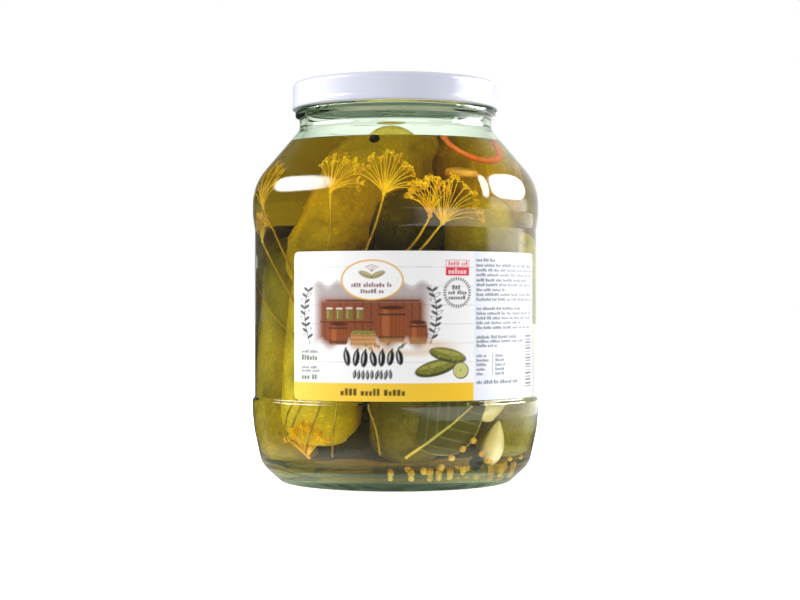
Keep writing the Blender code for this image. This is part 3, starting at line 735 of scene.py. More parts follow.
def make_dill_head(name, finish, azimuth, height, depth, reach, fan, fan_half, foot_azimuth, foot_height):
    """An umbel: rays from one hub, and on each a tuft of small flower stalks.

    It is drawn flat, with x round the wall, y away from it and z up it, and then wrapped inside the glass.
    """
    draw = random.Random(name)
    bm, layer, _ = tinted_mesh()
    arc = (wall_radius(height) - depth) * radians(1)
    bead(bm, (0, 0, 0), 1.1, 2)
    for i in range(RAY_COUNT):
        angle = radians(fan + fan_half * (2 * i / (RAY_COUNT - 1) - 1) + draw.uniform(-2, 2))
        length = reach * draw.uniform(0.74, 0.98)
        lean = (-1, 0.3, 1, -0.4)[i % 4] * RAY_SPREAD * draw.uniform(0.7, 1.0)
        tip = Vector((sin(angle) * length, lean, cos(angle) * length + RAY_ARCH * reach))
        path = [tip * s + Vector((0, 0, RAY_ARCH * reach * sin(pi * s))) for s in shares(6)]
        tube(bm, path, [RAY_THICKNESS / 2 * (1 - 0.35 * s) for s in shares(6)], 6)
        outward = (path[-1] - path[-2]).normalized()
        for _ in range(PEDICELS):
            spread = Vector((draw.gauss(0, 0.42), draw.gauss(0, 0.32), draw.gauss(0.12, 0.36)))
            stalk = (outward + spread).normalized() * (PEDICEL_LENGTH * draw.uniform(0.55, 1.1))
            tube(bm, [tip, tip + stalk * 0.5, tip + stalk], [PEDICEL_THICKNESS / 2] * 3, 4)
            bead(bm, tip + stalk, FLOWER * draw.uniform(0.8, 1.25))
    foot = Vector(((foot_azimuth - azimuth) * arc, 0, foot_height - height))
    bends = [(1.5 + 0.35 * wander(s * 4, azimuth, 0)) * sin(pi * s) for s in shares(26)]
    path = [foot * s + Vector((bend, 0, 0)) for s, bend in zip(shares(26), bends)]
    stem = tube(bm, path, [STEM_THICKNESS / 2 * (0.8 + 0.25 * s) for s in shares(26)], 10)
    for v in bm.verts:
        low = min(1.0, v.co.length / 14) if v in stem else 0.0
        # Painted light: a head set deeper from the glass is made lighter, so that the brine in front of it
        # dims it less
        v[layer] = (*mixed([1 + 0.06 * (depth - FRONT_DEPTH)] * 3, STEM_TINT, low), 1)
        v.co = on_wall(azimuth + v.co.x / arc, height + v.co.z, depth + v.co.y)
    add_body(name + "_umbel", bm, finish, [name])


def make_loose_stem(name, finish, azimuth, height, foot_azimuth, foot_height, swing):
    """A bare dill stem against the inside of the glass."""
    points, radii = [], []
    for share in shares(28):
        bend = (swing + 0.5 * wander(share * 5, azimuth, 7)) * sin(pi * share)
        turn = azimuth + (foot_azimuth - azimuth) * share + bend
        points.append(on_wall(turn, height + (foot_height - height) * share, STEM_DEPTH))
        radii.append(LOOSE_STEM_THICKNESS / 2 * (0.9 + 0.2 * wander(share * 9, azimuth, 3)))
    bm = bmesh.new()
    tube(bm, points, radii, 10)
    add_body(name + "_stalk", bm, finish, [name])


def leaf_half_width(share):
    """Half the leaf's width, this share of the way from its stalk's end to its tip."""
    along = max(0.0, (share - LEAF_STALK) / (1 - LEAF_STALK))
    return LEAF_STALK_WIDTH / 2 + LEAF_WIDTH / 2 * sin(pi * along ** 0.8) * (1 - 0.15 * along)


def vein_strength(share, across, half):
    """1 on a vein of the leaf, falling to 0 beside it."""
    if share < LEAF_STALK:
        return 1.0
    side = abs(across)
    midrib = max(0.0, 1 - side / (0.75 * (1.1 - 0.7 * share)))
    margin = max(0.0, 1 - (half - across) / 0.5) * 0.75
    length = LEAF_LENGTH * (share - LEAF_STALK) - side * 0.75 - side ** 2 * 0.014
    nearest = abs((length / RIB_SPACING) % 1 - 0.5) * RIB_SPACING
    rib = 0.30 * max(0.0, 1 - nearest / 0.42) * (1 - 0.4 * side / max(half, 1))
    return max(midrib, margin, rib if length > -1 else 0.0)


def make_leaf():
    """A thin wavy leaf with raised pale veins, lying inside the glass."""
    azimuth, height = LEAF_FOOT
    arc = (wall_radius(height + 12) - LEAF_DEPTH) * radians(1)
    c, s = cos(radians(LEAF_LEAN)), sin(radians(LEAF_LEAN))
    blade, vein, stalk = rgb(90, 80, 26), rgb(240, 212, 130), rgb(220, 190, 96)
    bm, _, add_point = tinted_mesh()
    rings = []
    for share in shares(LEAF_ROWS):
        along, half = LEAF_LENGTH * share, leaf_half_width(share)
        front, back = [], []
        for step in range(LEAF_COLUMNS + 1):
            across = half * (2 * step / LEAF_COLUMNS - 1)
            turn, rise = (along * s + across * c) / arc, along * c - across * s
            strength = vein_strength(share, across, half)
            depth = LEAF_DEPTH + LEAF_WAVE * sin(along / 5 + across / 4) - 0.16 * strength
            depth += 0.12 * wander(along / 3, across / 3, 0)
            colour = stalk if share < LEAF_STALK else mixed(blade, vein, strength)
            for row, inset in ((front, 0), (back, LEAF_THICKNESS)):
                row.append(add_point(on_wall(azimuth + turn, height + rise, depth + inset), colour))
        rings.append(front + back[::-1])
    bridge(bm, rings)
    for ring in (rings[0], rings[-1]):
        for j in range(LEAF_COLUMNS):
            bm.faces.new((ring[j], ring[j + 1], ring[-2 - j], ring[-1 - j]))
    finish = mottled("leaf", 0.42, (7, 4.0), FAINT_MOTTLE, (0.8,), 0.05, True)
    add_body("bay_leaf", bm, finish, ["leaf"], 80)


# The spices and vegetables

def make_garlic():
    """Peeled cloves: fat teardrops with faint ridges and a darker root end."""
    finish = mottled("garlic", 0.36, (9, 4.0), FAINT_MOTTLE, (1.6,), 0.05, True)
    cream, root = rgb(255, 232, 244), rgb(190, 146, 88)
    for name, (azimuth, radius, height, length, thickness, lean) in GARLIC_CLOVES.items():
        centre = polar(azimuth, radius, height)
        out, side = sideways(centre)
        up = side * sin(radians(lean)) + Vector((0, 0, cos(radians(lean))))
        bm, _, add_point = tinted_mesh()
        rings = [[add_point(centre - up * length * 0.5, root)] * GARLIC_SIDES]
        for i in range(1, GARLIC_RINGS + 1):
            share = i / (GARLIC_RINGS + 1)
            fat = thickness / 2 * sin(pi * share) ** 0.75 * (1.18 - 0.5 * share)
            middle = centre + up * length * (share - 0.5) - out * thickness * 0.12 * sin(pi * share)
            colour = mixed(root, cream, min(1.0, share / 0.12))
            ring = []
            for angle, spoke in spokes(up, GARLIC_SIDES):
                ridge = 0.93 - 0.06 * abs(cos(2.5 * angle + lean)) + 0.03 * wander(angle, share * 4, lean)
                ring.append(add_point(middle + spoke * (fat * ridge), colour))
            rings.append(ring)
        rings.append([add_point(centre + up * length * 0.5, cream)] * GARLIC_SIDES)
        bridge(bm, rings)
        add_body(name + "_peeled", bm, finish, [name])


def make_carrot():
    """A curled strip of carrot whose ends reach up to the surface, and a round slice below it."""
    finish = mottled("carrot", 0.4, (4, 4.0), FAINT_MOTTLE, (0.9,), 0.06, True)
    skin_colour, heart = rgb(236, 78, 12), rgb(255, 208, 112)
    points, radii = [], []
    for i in range(CURL_STEPS + 1):
        angle = radians(CURL_TURN * (2 * i / CURL_STEPS - 1))
        from_axis, height = CURL_FROM_AXIS + CURL_REACH * cos(angle), CURL_TOP - CURL_DROP * cos(angle)
        points.append(polar(CURL_AZIMUTH + CURL_SWING * sin(angle), from_axis, height))
        ends = min(1.0, min(i, CURL_STEPS - i) / 5 + 0.45)
        radii.append(CURL_WIDTH / 2 * ends * (1 + 0.08 * wander(i / 5, 0, 0)))
    bm, layer, _ = tinted_mesh()
    tube(bm, points, radii, 16, 0.8)
    for v in bm.verts:
        v[layer] = (*mixed(skin_colour, heart, 0.15 + 0.15 * wander(*v.co / 3)), 1)
    add_body("carrot_curl", bm, finish, ["carrot_strip"])

    half = COIN_THICKNESS / 2
    outline = rounded([(0, -half, 0), (COIN_RADIUS, -half, 1.1), (COIN_RADIUS, half, 1.1), (0, half, 0)])
    bm, layer, _ = tinted_mesh()
    turned(bm, with_short_steps(outline, 0.8), 48,
           lambda index, azimuth, radius, height: 0.25 * radius / COIN_RADIUS * sin(radians(azimuth * 3)))
    for v in bm.verts:
        from_middle = v.co.xy.length / COIN_RADIUS
        rings = 0.1 + 0.1 * sin(from_middle * 16)
        v[layer] = (*mixed(heart, skin_colour, 0.35 * min(1.0, from_middle ** 3 + rings)), 1)
        v.co += polar(*COIN)
    add_body("carrot_slice", bm, finish, ["carrot_coin"])


def make_seeds():
    """Mustard seeds, slightly uneven balls, as one piece."""
    draw = random.Random(5)
    places = [polar(*place) for place in MUSTARD_SEEDS]
    while len(places) < len(MUSTARD_SEEDS) + FURTHER_SEEDS:
        radius = draw.uniform(36, 53)
        resting = 9.0 + max(0.0, radius - 48) * 0.75
        place = polar(draw.uniform(4, 82), radius, resting + draw.uniform(0, 0.6))
        if all((place - other).length > MUSTARD_DIAMETER * 1.15 for other in places):
            places.append(place)
    bm = bmesh.new()
    for place in places:
        size, squash = MUSTARD_DIAMETER / 2 * draw.uniform(0.88, 1.0), draw.uniform(0.9, 1.0)
        for v in bead(bm, place, size, 3):
            v.co.z = place.z + (v.co.z - place.z) * squash
    tans = ((0.3, rgb(206, 140, 40)), (0.55, rgb(240, 184, 70)), (0.75, rgb(250, 206, 104)))
    finish = mottled("mustard", 0.45, (1.6, 4.0), tans, (0.5,), 0.05)
    names = [f"mustard_seed_{number:02d}" for number in range(1, len(MUSTARD_SEEDS) + 1)]
    add_body("mustard_seeds", bm, finish, names)


def make_spices():
    browns = ((0.3, rgb(24, 16, 12)), (0.6, rgb(52, 34, 24)), (0.8, rgb(84, 56, 36)))
    finish = mottled("spice", 0.55, (1.2, 4.0), browns, (0.5,), 0.25)
    for name, (*place, diameter) in SPICES.items():
        centre = polar(*place)
        bm = bmesh.new()
        for v in bead(bm, centre, diameter / 2, 4):
            out = (v.co - centre).normalized()
            wrinkle = 0.05 * abs(wander(*out * 3.2)) + 0.03 * wander(*out * 8)
            v.co = centre + out * diameter / 2 * (1 - wrinkle)
        add_body(name + "_dried", bm, finish, [name])


# The label

WHITE = (1.0, 1.0, 1.0)
GREY_LINE = rgb(196, 188, 190)
INK = rgb(26, 24, 26)
NAVY = rgb(40, 46, 66)
LEAF_GREEN = rgb(66, 92, 40)
RED = rgb(224, 34, 62)
GOLD = rgb(240, 178, 36)
SHELF, PLANK = rgb(96, 44, 22), rgb(186, 110, 62)


class Print:
    """The label's print: a colour for each point of a fine grid, laid down shape by shape.

    x runs round the label from its azimuth 0 and z is the height, both in millimetres. A shape is each
    point's distance from its edge, which is negative inside it.
    """

    def __init__(self, x, z):
        self.x, self.z = x, z
        self.colour = np.ones(x.shape + (3,))
        self.draw = random.Random(11)

    def blend(self, share, colour):
        self.colour = self.colour * (1 - share[..., None]) + np.array(colour) * share[..., None]

    def lay(self, shape, colour, strength=1.0):
        """Lays a colour over a shape, with a soft edge."""
        self.blend(np.clip(0.5 - shape / (2 * PRINT_EDGE), 0, 1) * strength, colour)

    def seen_from(self, x, z, turn):
        c, s = cos(radians(turn)), sin(radians(turn))
        dx, dz = self.x - x, self.z - z
        return dx * c + dz * s, -dx * s + dz * c

    def box(self, x, z, width, height, corner=0.0, turn=0.0):
        u, v = self.seen_from(x, z, turn)
        u, v = np.abs(u) - width / 2 + corner, np.abs(v) - height / 2 + corner
        return np.hypot(np.maximum(u, 0), np.maximum(v, 0)) + np.minimum(np.maximum(u, v), 0) - corner

    def oval(self, x, z, half_width, half_height, turn=0.0):
        u, v = self.seen_from(x, z, turn)
        return (np.hypot(u / half_width, v / half_height) - 1) * min(half_width, half_height)

    def line(self, x0, z0, x1, z1, width):
        """A stroke with round ends."""
        dx, dz = x1 - x0, z1 - z0
        share = np.clip(((self.x - x0) * dx + (self.z - z0) * dz) / (dx * dx + dz * dz), 0, 1)
        return np.hypot(self.x - x0 - share * dx, self.z - z0 - share * dz) - width / 2

    def text(self, left, right, z, size, colour, heavy):
        """A row of word-like dashes in place of a line of text."""
        draw = self.draw
        x = left
        while x < right - size:
            word = min(draw.uniform(2.0, 7.0) * size, right - x)
            start = x
            while x < start + word - size * 0.3:
                tall = size * draw.choice((0.75, 0.75, 1.0, 1.15))
                width = size * draw.uniform(0.28, 0.46) * (1 + heavy)
                self.lay(self.box(x + width / 2, z + (tall - size) / 2, width, tall, 0.05), colour, 0.9)
                x += width + size * 0.20
            x += size * 0.55


def print_boards(art):
    """The whitewashed boards behind everything, with thin uneven joints."""
    pick = art.draw.uniform
    for z in (94.5, 86.6, 78.8, 70.8, 62.9, 55.0):
        for part in range(14):
            left = -46 + part * 6.1
            width = 0.16 + pick(0, 0.16)
            joint = art.line(left, z + pick(-0.1, 0.1), left + 6.1, z + pick(-0.1, 0.1), width)
            art.lay(joint, GREY_LINE, pick(0.45, 0.9))


def print_wall(art):
    """A cellar wall of red-brown boards with two shelves and jars on one, fading out at its edges."""
    x, z = art.x, art.z
    grain = np.sin(z * 9 + np.sin(x * 0.9) * 0.8) * 0.5 + np.sin(x * 2.3 + z * 1.7) * 0.3
    inside = np.clip(np.minimum(
        np.minimum((x + 37) / 5, (15.6 - x) / 5),
        np.minimum((z - 60.8 - 1.6 * np.sin(x * 0.5)) / 4.5, (88.4 - z + 1.1 * np.sin(x * 0.7)) / 3.6),
    ), 0, 1)
    smoke = inside * np.clip((z - 79.5) / 5, 0, 1)
    wall = np.stack([0.26 + 0.05 * grain, 0.072 + 0.02 * grain, 0.030 + 0.01 * grain], axis=-1)
    joints = np.abs((x / 3.4) % 1 - 0.5) * 3.4
    wall *= np.where(joints[..., None] > 1.58, 0.35, 1.0)
    art.blend(inside * (1 - 0.75 * smoke), np.clip(wall, 0.01, 1))
    art.blend(smoke * 0.5, rgb(120, 104, 104))
    for z, left, right in ((80.6, -30, 10), (71.8, -33, -9)):
        art.lay(art.box((left + right) / 2, z, right - left, 0.9), SHELF, 0.9)
        art.lay(art.box((left + right) / 2, z + 0.4, right - left, 0.25), PLANK, 0.7)
    for x in (-28.5, -24.0, -19.6, -15.0):
        tall = 4.6 + art.draw.uniform(-0.3, 0.3)
        art.lay(art.box(x, 72.4 + tall / 2, 3.3, tall, 0.7), rgb(126, 112, 52), 0.95)
        art.lay(art.box(x - 0.7, 72.4 + tall / 2, 0.5, tall - 1.4, 0.2), rgb(196, 184, 120), 0.7)
        art.lay(art.box(x, 72.6 + tall, 2.9, 0.7, 0.2), rgb(232, 226, 216), 0.95)


def print_barrel(art, x, foot, wide, tall):
    z = foot + tall / 2
    body = np.maximum(art.oval(x, z, wide / 2, tall * 0.78), art.box(x, z, wide + 1, tall))
    art.lay(body, rgb(150, 78, 40), 0.98)
    details = [
        (art.line(x + stave * wide / 8.5, foot, x + stave * wide / 7.6, foot + tall, 0.2), SHELF, 0.8)
        for stave in range(-3, 4)
    ]
    details.append((art.oval(x - wide * 0.2, z, wide * 0.12, tall * 0.6), PLANK, 0.6))
    for band in (0.14, 0.80):
        details.append((art.box(x, foot + tall * band, wide + 1, 0.7), rgb(52, 44, 42), 0.95))
    for shape, colour, strength in details:
        art.lay(np.maximum(shape, body), colour, strength)
    art.lay(art.oval(x, foot + tall, wide * 0.42, 0.8), rgb(70, 34, 20), 0.95)


def print_harvest(art):
    """A crate of gherkins, loose berries and leaves before it, and warm light on the floor."""
    pick = art.draw.uniform
    art.lay(art.box(-13.6, 64.4, 10.6, 5.0, 0.3), rgb(206, 150, 92), 0.95)
    for z in (62.6, 64.3, 66.0):
        art.lay(art.box(-13.6, z, 10.6, 0.3), rgb(120, 70, 36), 0.85)
    for k in range(7):
        gherkin = art.oval(-17.6 + k * 1.35, 67.2 + pick(-0.3, 0.5), 1.25, 0.62, pick(-50, 50))
        art.lay(gherkin, rgb(112, 124, 44), 0.95)
        art.lay(art.oval(-17.8 + k * 1.35, 67.5, 0.5, 0.2, pick(-50, 50)), rgb(178, 186, 96), 0.8)
    colours = (rgb(210, 40, 60), rgb(70, 96, 40), rgb(232, 150, 150), rgb(88, 110, 52))
    for _ in range(16):
        bit = art.oval(pick(-13, 6), 61.6 + pick(-1.0, 1.6), 0.85, 0.6, pick(0, 90))
        art.lay(bit, art.draw.choice(colours), 0.85)
    glow = np.clip(1 - np.abs(art.oval(4, 61.4, 14, 2.6)) / 2.2, 0, 1) * 0.55
    art.blend(glow * np.clip((70 - art.z) / 8, 0, 1), rgb(226, 176, 110))


def print_badge(art):
    """A white oval with a gold rim; in it two gherkins under a sprig, and two rows of dashes."""
    x = -9.9
    art.lay(art.oval(x, 89.1, 13.3, 8.5), GOLD)
    art.lay(art.oval(x, 89.1, 12.6, 7.9), (1.0, 1.0, 0.99))
    for side in (-1, 1):
        art.lay(art.oval(x + side * 2.5, 91.3, 3.3, 1.2, side * 22), rgb(152, 136, 72), 0.9)
        art.lay(art.oval(x + side * 2.4, 91.7, 2.2, 0.35, side * 22), rgb(206, 196, 140), 0.8)
    for k in range(-3, 4):
        end_x, end_z = x + k * 0.8, 95.2 - abs(k) * 0.25
        art.lay(art.line(x, 92.6, end_x, end_z, 0.16), rgb(176, 112, 88), 0.8)
        art.lay(art.oval(end_x, end_z + 0.1, 0.26, 0.26), rgb(176, 112, 88), 0.9)
    art.text(-18.6, -1.2, 87.0, 1.6, rgb(120, 44, 52), 0.35)
    art.text(-14.6, -5.0, 84.4, 1.6, rgb(120, 44, 52), 0.35)


def print_sprig(art, foot_x, foot_z, lean, length):
    """A laurel sprig: a bowed stalk with pairs of small leaves and a few open ones."""
    previous = (foot_x, foot_z)
    for i, share in enumerate(shares(9)[1:], 1):
        x = foot_x + lean * (1 - (1 - share) ** 2) * 4.2 - lean * 3.4 * share ** 3
        z = foot_z + length * share
        art.lay(art.line(*previous, x, z, 0.34), INK, 0.95)
        for side in (-1, 1):
            turn = degrees(np.arctan2(1.5, side * 2.3))
            leaf = art.oval(x + side * 1.15, z + 0.75, 1.45, 0.62, turn)
            if (i + side) % 3:
                art.lay(leaf, INK, 0.92)
            else:
                art.lay(np.abs(leaf) - 0.1, INK, 0.85)
        previous = (x, z)


def print_gherkin_row(art, left, right, z, height, count):
    """A row of inky gherkin shapes, standing close together, that fills the place of a title."""
    pick = art.draw.uniform
    step = (right - left) / count
    for k in range(count):
        x = left + step * (k + 0.5) + pick(-0.06, 0.06) * step
        tall = height * pick(0.86, 1.0)
        turn = pick(-13, 13)
        foot = z + pick(-0.05, 0.05) * height
        art.lay(art.oval(x, foot, step * 0.40, tall / 2, turn), INK)
        c, s = cos(radians(turn)), sin(radians(turn))
        lift = tall * 0.40
        stalk = (x - lift * s, foot + lift * c, x - lift * 1.45 * s + 0.2, foot + lift * 1.4 * c)
        art.lay(art.line(*stalk, step * 0.2), INK)
        art.lay(art.oval(x - step * 0.10, foot + tall * 0.04, step * 0.07, tall * 0.27, turn), WHITE, 0.85)


def print_cucumbers(art):
    """Two whole cucumbers and a slice, painted small."""
    draw = art.draw
    dark, mid, pale = rgb(62, 66, 20), rgb(124, 124, 40), rgb(176, 172, 84)
    for x, z, half, thick, turn in ((17.2, 52.6, 9.4, 3.3, 14), (22.4, 57.8, 8.4, 2.9, -12)):
        whole = art.oval(x, z, half, thick, turn)
        art.lay(whole, dark)
        art.lay(art.oval(x, z + thick * 0.16, half * 0.93, thick * 0.74, turn), mid)
        art.lay(art.oval(x, z + thick * 0.42, half * 0.78, thick * 0.26, turn), pale, 0.7)
        c, s = cos(radians(turn)), sin(radians(turn))
        for _ in range(34):
            u, v = draw.uniform(-0.86, 0.86) * half, draw.uniform(-0.7, 0.7) * thick
            spot = art.oval(x + u * c - v * s, z + u * s + v * c, 0.3, 0.2, turn)
            art.lay(np.maximum(spot, whole), draw.choice((dark, pale)), 0.75)
    art.lay(art.oval(28.2, 51.4, 3.7, 3.5), dark)
    art.lay(art.oval(28.1, 51.5, 3.3, 3.1), rgb(206, 204, 124))
    art.lay(art.oval(28.1, 51.5, 2.2, 2.0), rgb(184, 186, 96))
    for angle in angles(9):
        seed = art.oval(28.1 + 1.5 * cos(angle), 51.5 + 1.4 * sin(angle), 0.55, 0.25, degrees(angle))
        art.lay(seed, rgb(226, 222, 160))


def print_stamp(art):
    """A ring of short ticks round three rows of dashes."""
    x, z = 26.6, 83.9
    for angle in angles(34):
        c, s = cos(angle), sin(angle)
        art.lay(art.line(x + 5.4 * c, z + 5.4 * s, x + 6.2 * c, z + 6.2 * s, 0.6), INK, 0.9)
    for row, half in ((86.0, 2.4), (83.9, 4.2), (81.8, 4.0)):
        art.text(x - half, x + half, row, 1.5, INK, 0.55)


def print_info_panel(art):
    """The pale side panel: rows of dashes, two short columns and a strip of bars."""
    pick = art.draw.uniform
    art.lay(art.box(60.4, 70, 51.6, 80), rgb(240, 243, 252))
    for z, right, heavy in (
        (97.6, 46, 0.35), (95.4, 76, 0.1), (93.4, 76.5, 0), (91.4, 76, 0), (89.2, 70, 0.4), (87.2, 76, 0.1),
        (85.1, 52, 0), (83.1, 75, 0.2), (81.1, 76, 0), (77.2, 64, 0.3), (75.2, 76, 0), (73.2, 76, 0),
        (71.2, 64, 0), (69.2, 73, 0.1), (65.2, 62, 0.1), (63.4, 66, 0), (61.6, 47, 0),
    ):
        art.text(35.8, right, z, 1.15, NAVY, heavy + 0.45)
    for k in range(5):
        art.text(35.8, 35.8 + pick(4, 7.5), 57.4 - k * 1.9, 1.1, NAVY, 0.4)
        art.text(46.2, 46.2 + pick(5, 10), 57.4 - k * 1.9, 1.1, NAVY, 0.4)
    art.lay(art.box(44.6, 53.8, 0.3, 9.0), NAVY, 0.8)
    art.text(35.8, 62.0, 46.2, 1.3, NAVY, 0.6)
    z = 43.4
    while z < 65.4:
        bar = art.draw.choice((0.45, 0.6, 0.9))
        art.lay(art.box(72.2, z + bar / 2, 6.6, bar), NAVY, 0.95)
        z += bar + art.draw.choice((0.45, 0.6, 0.8))


def printed_colours(x, z):
    art = Print(x, z)
    art.lay(art.box(0, 70, 200, 80), rgb(254, 254, 254))
    print_boards(art)
    print_wall(art)
    for barrel in ((-24.5, 62.2, 9.4, 8.6), (-1.5, 63.4, 12.6, 14.2), (9.4, 62.6, 8.2, 9.0)):
        print_barrel(art, *barrel)
    print_harvest(art)
    print_badge(art)
    print_sprig(art, -38.2, 62.6, -1, 22)
    print_sprig(art, 14.6, 62.6, 1, 22)
    print_gherkin_row(art, -22.2, 3.6, 56.6, 7.2, 7)
    print_gherkin_row(art, -18.2, -1.2, 49.7, 3.9, 9)
    for row, size in ((59.2, 1.1), (56.6, 2.0), (52.6, 1.0), (51.2, 1.0), (48.6, 2.0)):
        art.text(-42.6, -42.6 + (9.4 if size < 1.5 else 8.0), row, size, LEAF_GREEN, 0.4)
    print_cucumbers(art)
    art.lay(art.box(26.7, 96.0, 10.8, 3.0), RED)
    art.lay(art.box(26.7, 96.0, 10.3, 2.5), WHITE)
    art.text(22.5, 31.0, 96.0, 1.5, RED, 0.3)
    art.lay(art.box(26.7, 92.7, 10.8, 3.4), RED)
    art.text(22.5, 31.2, 92.7, 2.0, rgb(255, 224, 228), 0.3)
    print_stamp(art)
    warm = np.clip((x + 47) / 80, 0, 1)[..., None]
    yellow = np.array(rgb(255, 216, 84)) * (1 - warm) + np.array(rgb(250, 200, 36)) * warm
    art.blend(np.clip(0.5 - (z - 46.3) / (2 * PRINT_EDGE), 0, 1) * (x < 34.4), yellow)
    art.text(-23.4, 4.0, 42.4, 2.5, rgb(44, 32, 10), 0.4)
    print_info_panel(art)
    return art.colour


def make_label():
    """A closed sheet with round corners, as a ring of points for each column: one on its back at the bottom,
    a fine row up its face that carries the print, and one on its back at the top."""
    turns = np.linspace(LABEL_FROM, LABEL_TO, LABEL_COLUMNS + 1)[:, None]
    from_edge = np.minimum(turns - LABEL_FROM, LABEL_TO - turns) / degrees(LABEL_CORNER / LABEL_FACE)
    short = LABEL_CORNER * (1 - np.sin(np.arccos(np.clip(1 - np.minimum(from_edge, 1), -1, 1))))
    bottom, top = LABEL_BOTTOM + short, LABEL_TOP - short
    face = bottom + (top - bottom) * np.linspace(0, 1, LABEL_ROWS + 1)
    height = np.hstack([bottom, face, top])
    angle = np.radians(turns) * np.ones_like(height)
    radius = np.full_like(height, LABEL_FACE)
    radius[:, [0, -1]] = LABEL_BACK
    points = np.stack([radius * np.sin(angle), -radius * np.cos(angle), height], axis=-1) * MM
    here = np.arange(height.size).reshape(height.shape)
    ahead = np.roll(here, -1, axis=1)
    faces = np.stack([here[:-1], here[1:], ahead[1:], ahead[:-1]], axis=-1).reshape(-1, 4).tolist()
    faces += [here[0].tolist(), here[-1, ::-1].tolist()]
    mesh = bpy.data.meshes.new("paper_label")
    mesh.from_pydata(points.reshape(-1, 3).tolist(), [], faces)
    colours = np.ones(height.shape + (4,))
    colours[:, 1:-1, :3] = printed_colours(angle[:, 1:-1] * LABEL_FACE, face)
    mesh.color_attributes.new("tint", "FLOAT_COLOR", "POINT").data.foreach_set("color", colours.ravel())
    paper = mottled("label_paper", 0.42, (0.8, 4.0), ((0.2, 0.97), (0.8, 1.0)), (0.5, 4.0), 0.012, True)
    add_piece("paper_label", mesh, paper, ["label"], 40)


# The view and the studio

def add_camera():
    lens = bpy.data.cameras.new("photo_view")
    lens.sensor_width = SENSOR
    lens.lens = SENSOR * PIXELS_PER_MM * CAMERA_DISTANCE / IMAGE_WIDTH
    lens.shift_x = (IMAGE_WIDTH / 2 - AXIS_PIXEL) / IMAGE_WIDTH
    lens.shift_y = (HORIZON_PIXEL - IMAGE_HEIGHT / 2) / IMAGE_WIDTH
    lens.clip_start, lens.clip_end = 0.01, 50
    camera = add_object("photo_view", lens)
    camera.location = Vector((0, -CAMERA_DISTANCE, EYE_HEIGHT)) * MM
    camera.rotation_euler = (pi / 2, 0, 0)
    bpy.context.scene.camera = camera


class Stage(Nodes):
    """The nodes of the world or the floor. Both give each kind of light path its own level of light."""

    def __init__(self, tree):
        super().__init__(tree)
        self.path = self.nodes.new("ShaderNodeLightPath").outputs

    def choose(self, switch, otherwise, chosen):
        return self.node("Mix", "Result", {"Factor": switch, "A": otherwise, "B": chosen})

    def level(self, on_outside, on_contents, mirrored, mirrored_inside, seen_through):
        """The level for light on the outer pieces and on the contents, for reflections outside and inside
        the glass, and for what shows straight through it."""
        lights_something = self.math("GREATER_THAN", self.path["Diffuse Depth"], 0.5)
        has_mirrored = self.math("GREATER_THAN", self.path["Glossy Depth"], 0.5)
        light = self.choose(self.path["Is Transmission Ray"], on_outside, on_contents)
        mirror = self.choose(self.path["Is Reflection Ray"], mirrored_inside, mirrored)
        return self.choose(lights_something, self.choose(has_mirrored, seen_through, mirror), light)


def mirrored_place(stage, y, z):
    """Where the front of an upright round shoulder mirrors a direction: how far round it, and how high."""
    level = stage.math("SUBTRACT", z, MIRROR_LIFT)
    around = stage.math("SUBTRACT", y, stage.math("MULTIPLY", stage.math("MULTIPLY", level, level), 0.57))
    facing = stage.math("SQRT", stage.math("MAXIMUM", stage.math("MULTIPLY_ADD", around, -0.5, 0.5), 0.01))
    return around, stage.math("DIVIDE", level, facing)


def pane_shape(stage, around, up, middle_around, half_around, middle_up, half_up, softness):
    """1 inside a window with round corners, falling softly to 0 outside it."""
    away = []
    for place, middle, half in ((around, middle_around, half_around), (up, middle_up, half_up)):
        share = stage.math("DIVIDE", stage.math("SUBTRACT", place, middle), half)
        away.append(stage.math("POWER", stage.math("ABSOLUTE", share), 3.0))
    return stage.fade(stage.math("ADD", *away), 1.0 - softness, 1.0 + softness, 1.0, 0.0)


def add_world():
    """A white studio. What the glass mirrors of it is dim, apart from the far side and the right."""
    world = bpy.data.worlds.new("studio")
    world.use_nodes = True
    stage = Stage(world.node_tree)
    x, y, z = stage.where("Generated")
    towards_right = stage.math("ADD", stage.math("MULTIPLY", x, 0.5), stage.math("MULTIPLY", y, 0.87))
    mirrored = stage.fade(towards_right, 0.55, 1.0, 0.03, 0.9)
    around, up = mirrored_place(stage, y, z)
    for side, *pane, brightness in WINDOWS:
        on_side = stage.fade(x, 0.0, 0.1 * side, 0.0, 1.0)
        glow = stage.math("MULTIPLY", on_side, pane_shape(stage, around, up, *pane))
        mirrored = stage.math("ADD", mirrored, stage.math("MULTIPLY", glow, brightness))
    level = stage.level(
        stage.fade(y, -0.5, 0.25, 0.07, 1.15),
        stage.fade(z, -0.2, 0.9, *CONTENTS_LIGHT),
        mirrored,
        stage.fade(y, 0.55, 0.95, 0.05, 1.0),
        stage.fade(y, -0.3, 0.4, 0.10, 1.25),
    )
    room = stage.nodes["Background"]
    stage.put(room.inputs["Strength"], stage.choose(stage.path["Is Camera Ray"], level, 1.0))
    room.inputs["Color"].default_value = (1, 1, 1, 1)
    bpy.context.scene.world = world
    bpy.context.scene.view_settings.view_transform = "Standard"


def add_lamp(name, place, width, height, power):
    """A soft lamp that looks at the jar, and that neither the glass nor the brine shows."""
    lamp = bpy.data.lights.new(name, "AREA")
    lamp.shape = "RECTANGLE"
    lamp.size, lamp.size_y = width, height
    lamp.energy = power
    box = add_object(name, lamp)
    box.location = place
    box.rotation_euler = (LAMP_AIM - Vector(place)).to_track_quat("-Z", "Y").to_euler()
    box.visible_glossy = box.visible_transmission = False


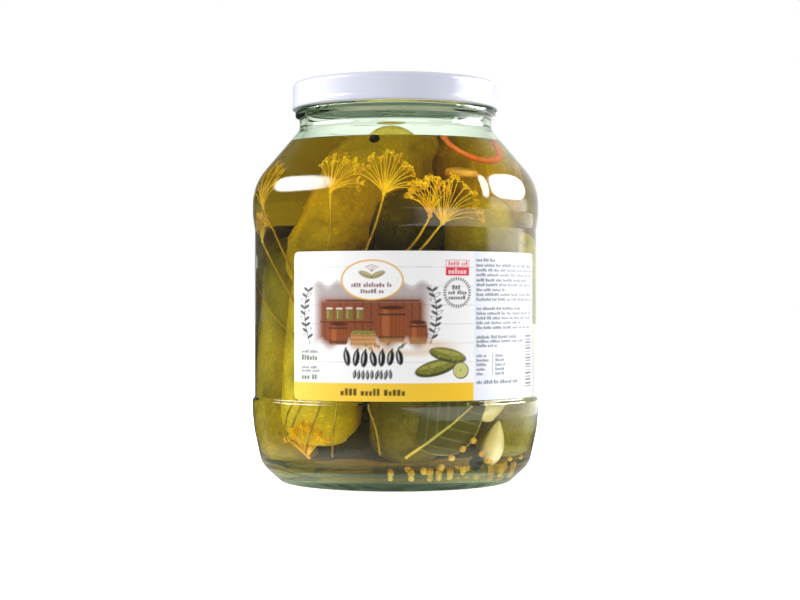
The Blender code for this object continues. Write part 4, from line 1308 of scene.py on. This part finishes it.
def add_floor():
    """A white floor. Its mirror image in the glass is dim, apart from the part close to the jar. Where the
    glass shows the floor under and round the jar, it is darkened as a painted shadow.
    """
    mesh = bpy.data.meshes.new("floor")
    mesh.from_pydata([(-6, -6, 0), (6, -6, 0), (6, 6, 0), (-6, 6, 0)], [], [(0, 1, 2, 3)])
    finish = Finish("floor", 0.8, (0.9, 0.9, 0.9))
    finish.feed("Emission Color", (1, 1, 1, 1))
    finish.feed("Emission Strength", 0.7)
    finish.feed("Specular IOR Level", 0.0)
    stage = Stage(finish.material.node_tree)
    x, y, _ = stage.where("Object")
    away = stage.from_axis(x, y)
    beside = stage.fade(x, 0.10, 0.30, 0.0, 2.0)
    # Painted shade: what the glass shows of the floor from inside is dimmed in a strip through the jar's
    # middle, and what shows straight through is dimmed close round the jar, as its shadow
    aside = stage.fade(stage.math("ABSOLUTE", x), 0.008, 0.045, 0.25, 1.0)
    close = stage.fade(away, 0.04, 0.062, 0.4, 1.0)
    level = stage.level(
        stage.fade(y, -0.5, 0.1, 0.3, 1.0),
        FLOOR_LIGHT,
        stage.math("ADD", stage.fade(away, 0.07, 0.16, 0.5, 0.04), beside),
        stage.math("MULTIPLY", stage.fade(away, 0.07, 0.12, 1.3, 0.05), aside),
        stage.math("MULTIPLY", stage.fade(y, -0.42, -0.10, 0.10, 1.0), close),
    )
    glow = stage.node("Emission", "Emission", {"Strength": level})
    shown = {"Fac": stage.path["Is Camera Ray"], 1: glow, 2: finish.shader.outputs["BSDF"]}
    surface = stage.nodes["Material Output"].inputs["Surface"]
    stage.put(surface, stage.node("MixShader", "Shader", shown))
    mesh.materials.append(finish.material)
    add_object("floor", mesh)


add_camera()
add_world()
add_floor()
for lamp_name, lamp in LAMPS.items():
    add_lamp(lamp_name, *lamp)
make_jar()
make_brine()
make_cap()
make_pickles()
golds = zip((0.3, 0.5, 0.7), (rgb(220, 158, 2), rgb(250, 192, 2), rgb(255, 218, 16)))
dill = mottled("dill", 0.5, (5,), golds, (0.35, 2.0), 0.05, True)
straws = zip((0.3, 0.5, 0.7), (rgb(140, 100, 18), rgb(176, 134, 30), rgb(206, 164, 50)))
stalk = mottled("dill_stalk", 0.5, (5,), straws, (0.35, 2.0), 0.05)
for head, shape in DILL_HEADS.items():
    make_dill_head(head, dill, *shape)
for stem, shape in STEMS.items():
    make_loose_stem(stem, stalk, *shape)
make_leaf()
make_garlic()
make_carrot()
make_seeds()
make_spices()
make_label()
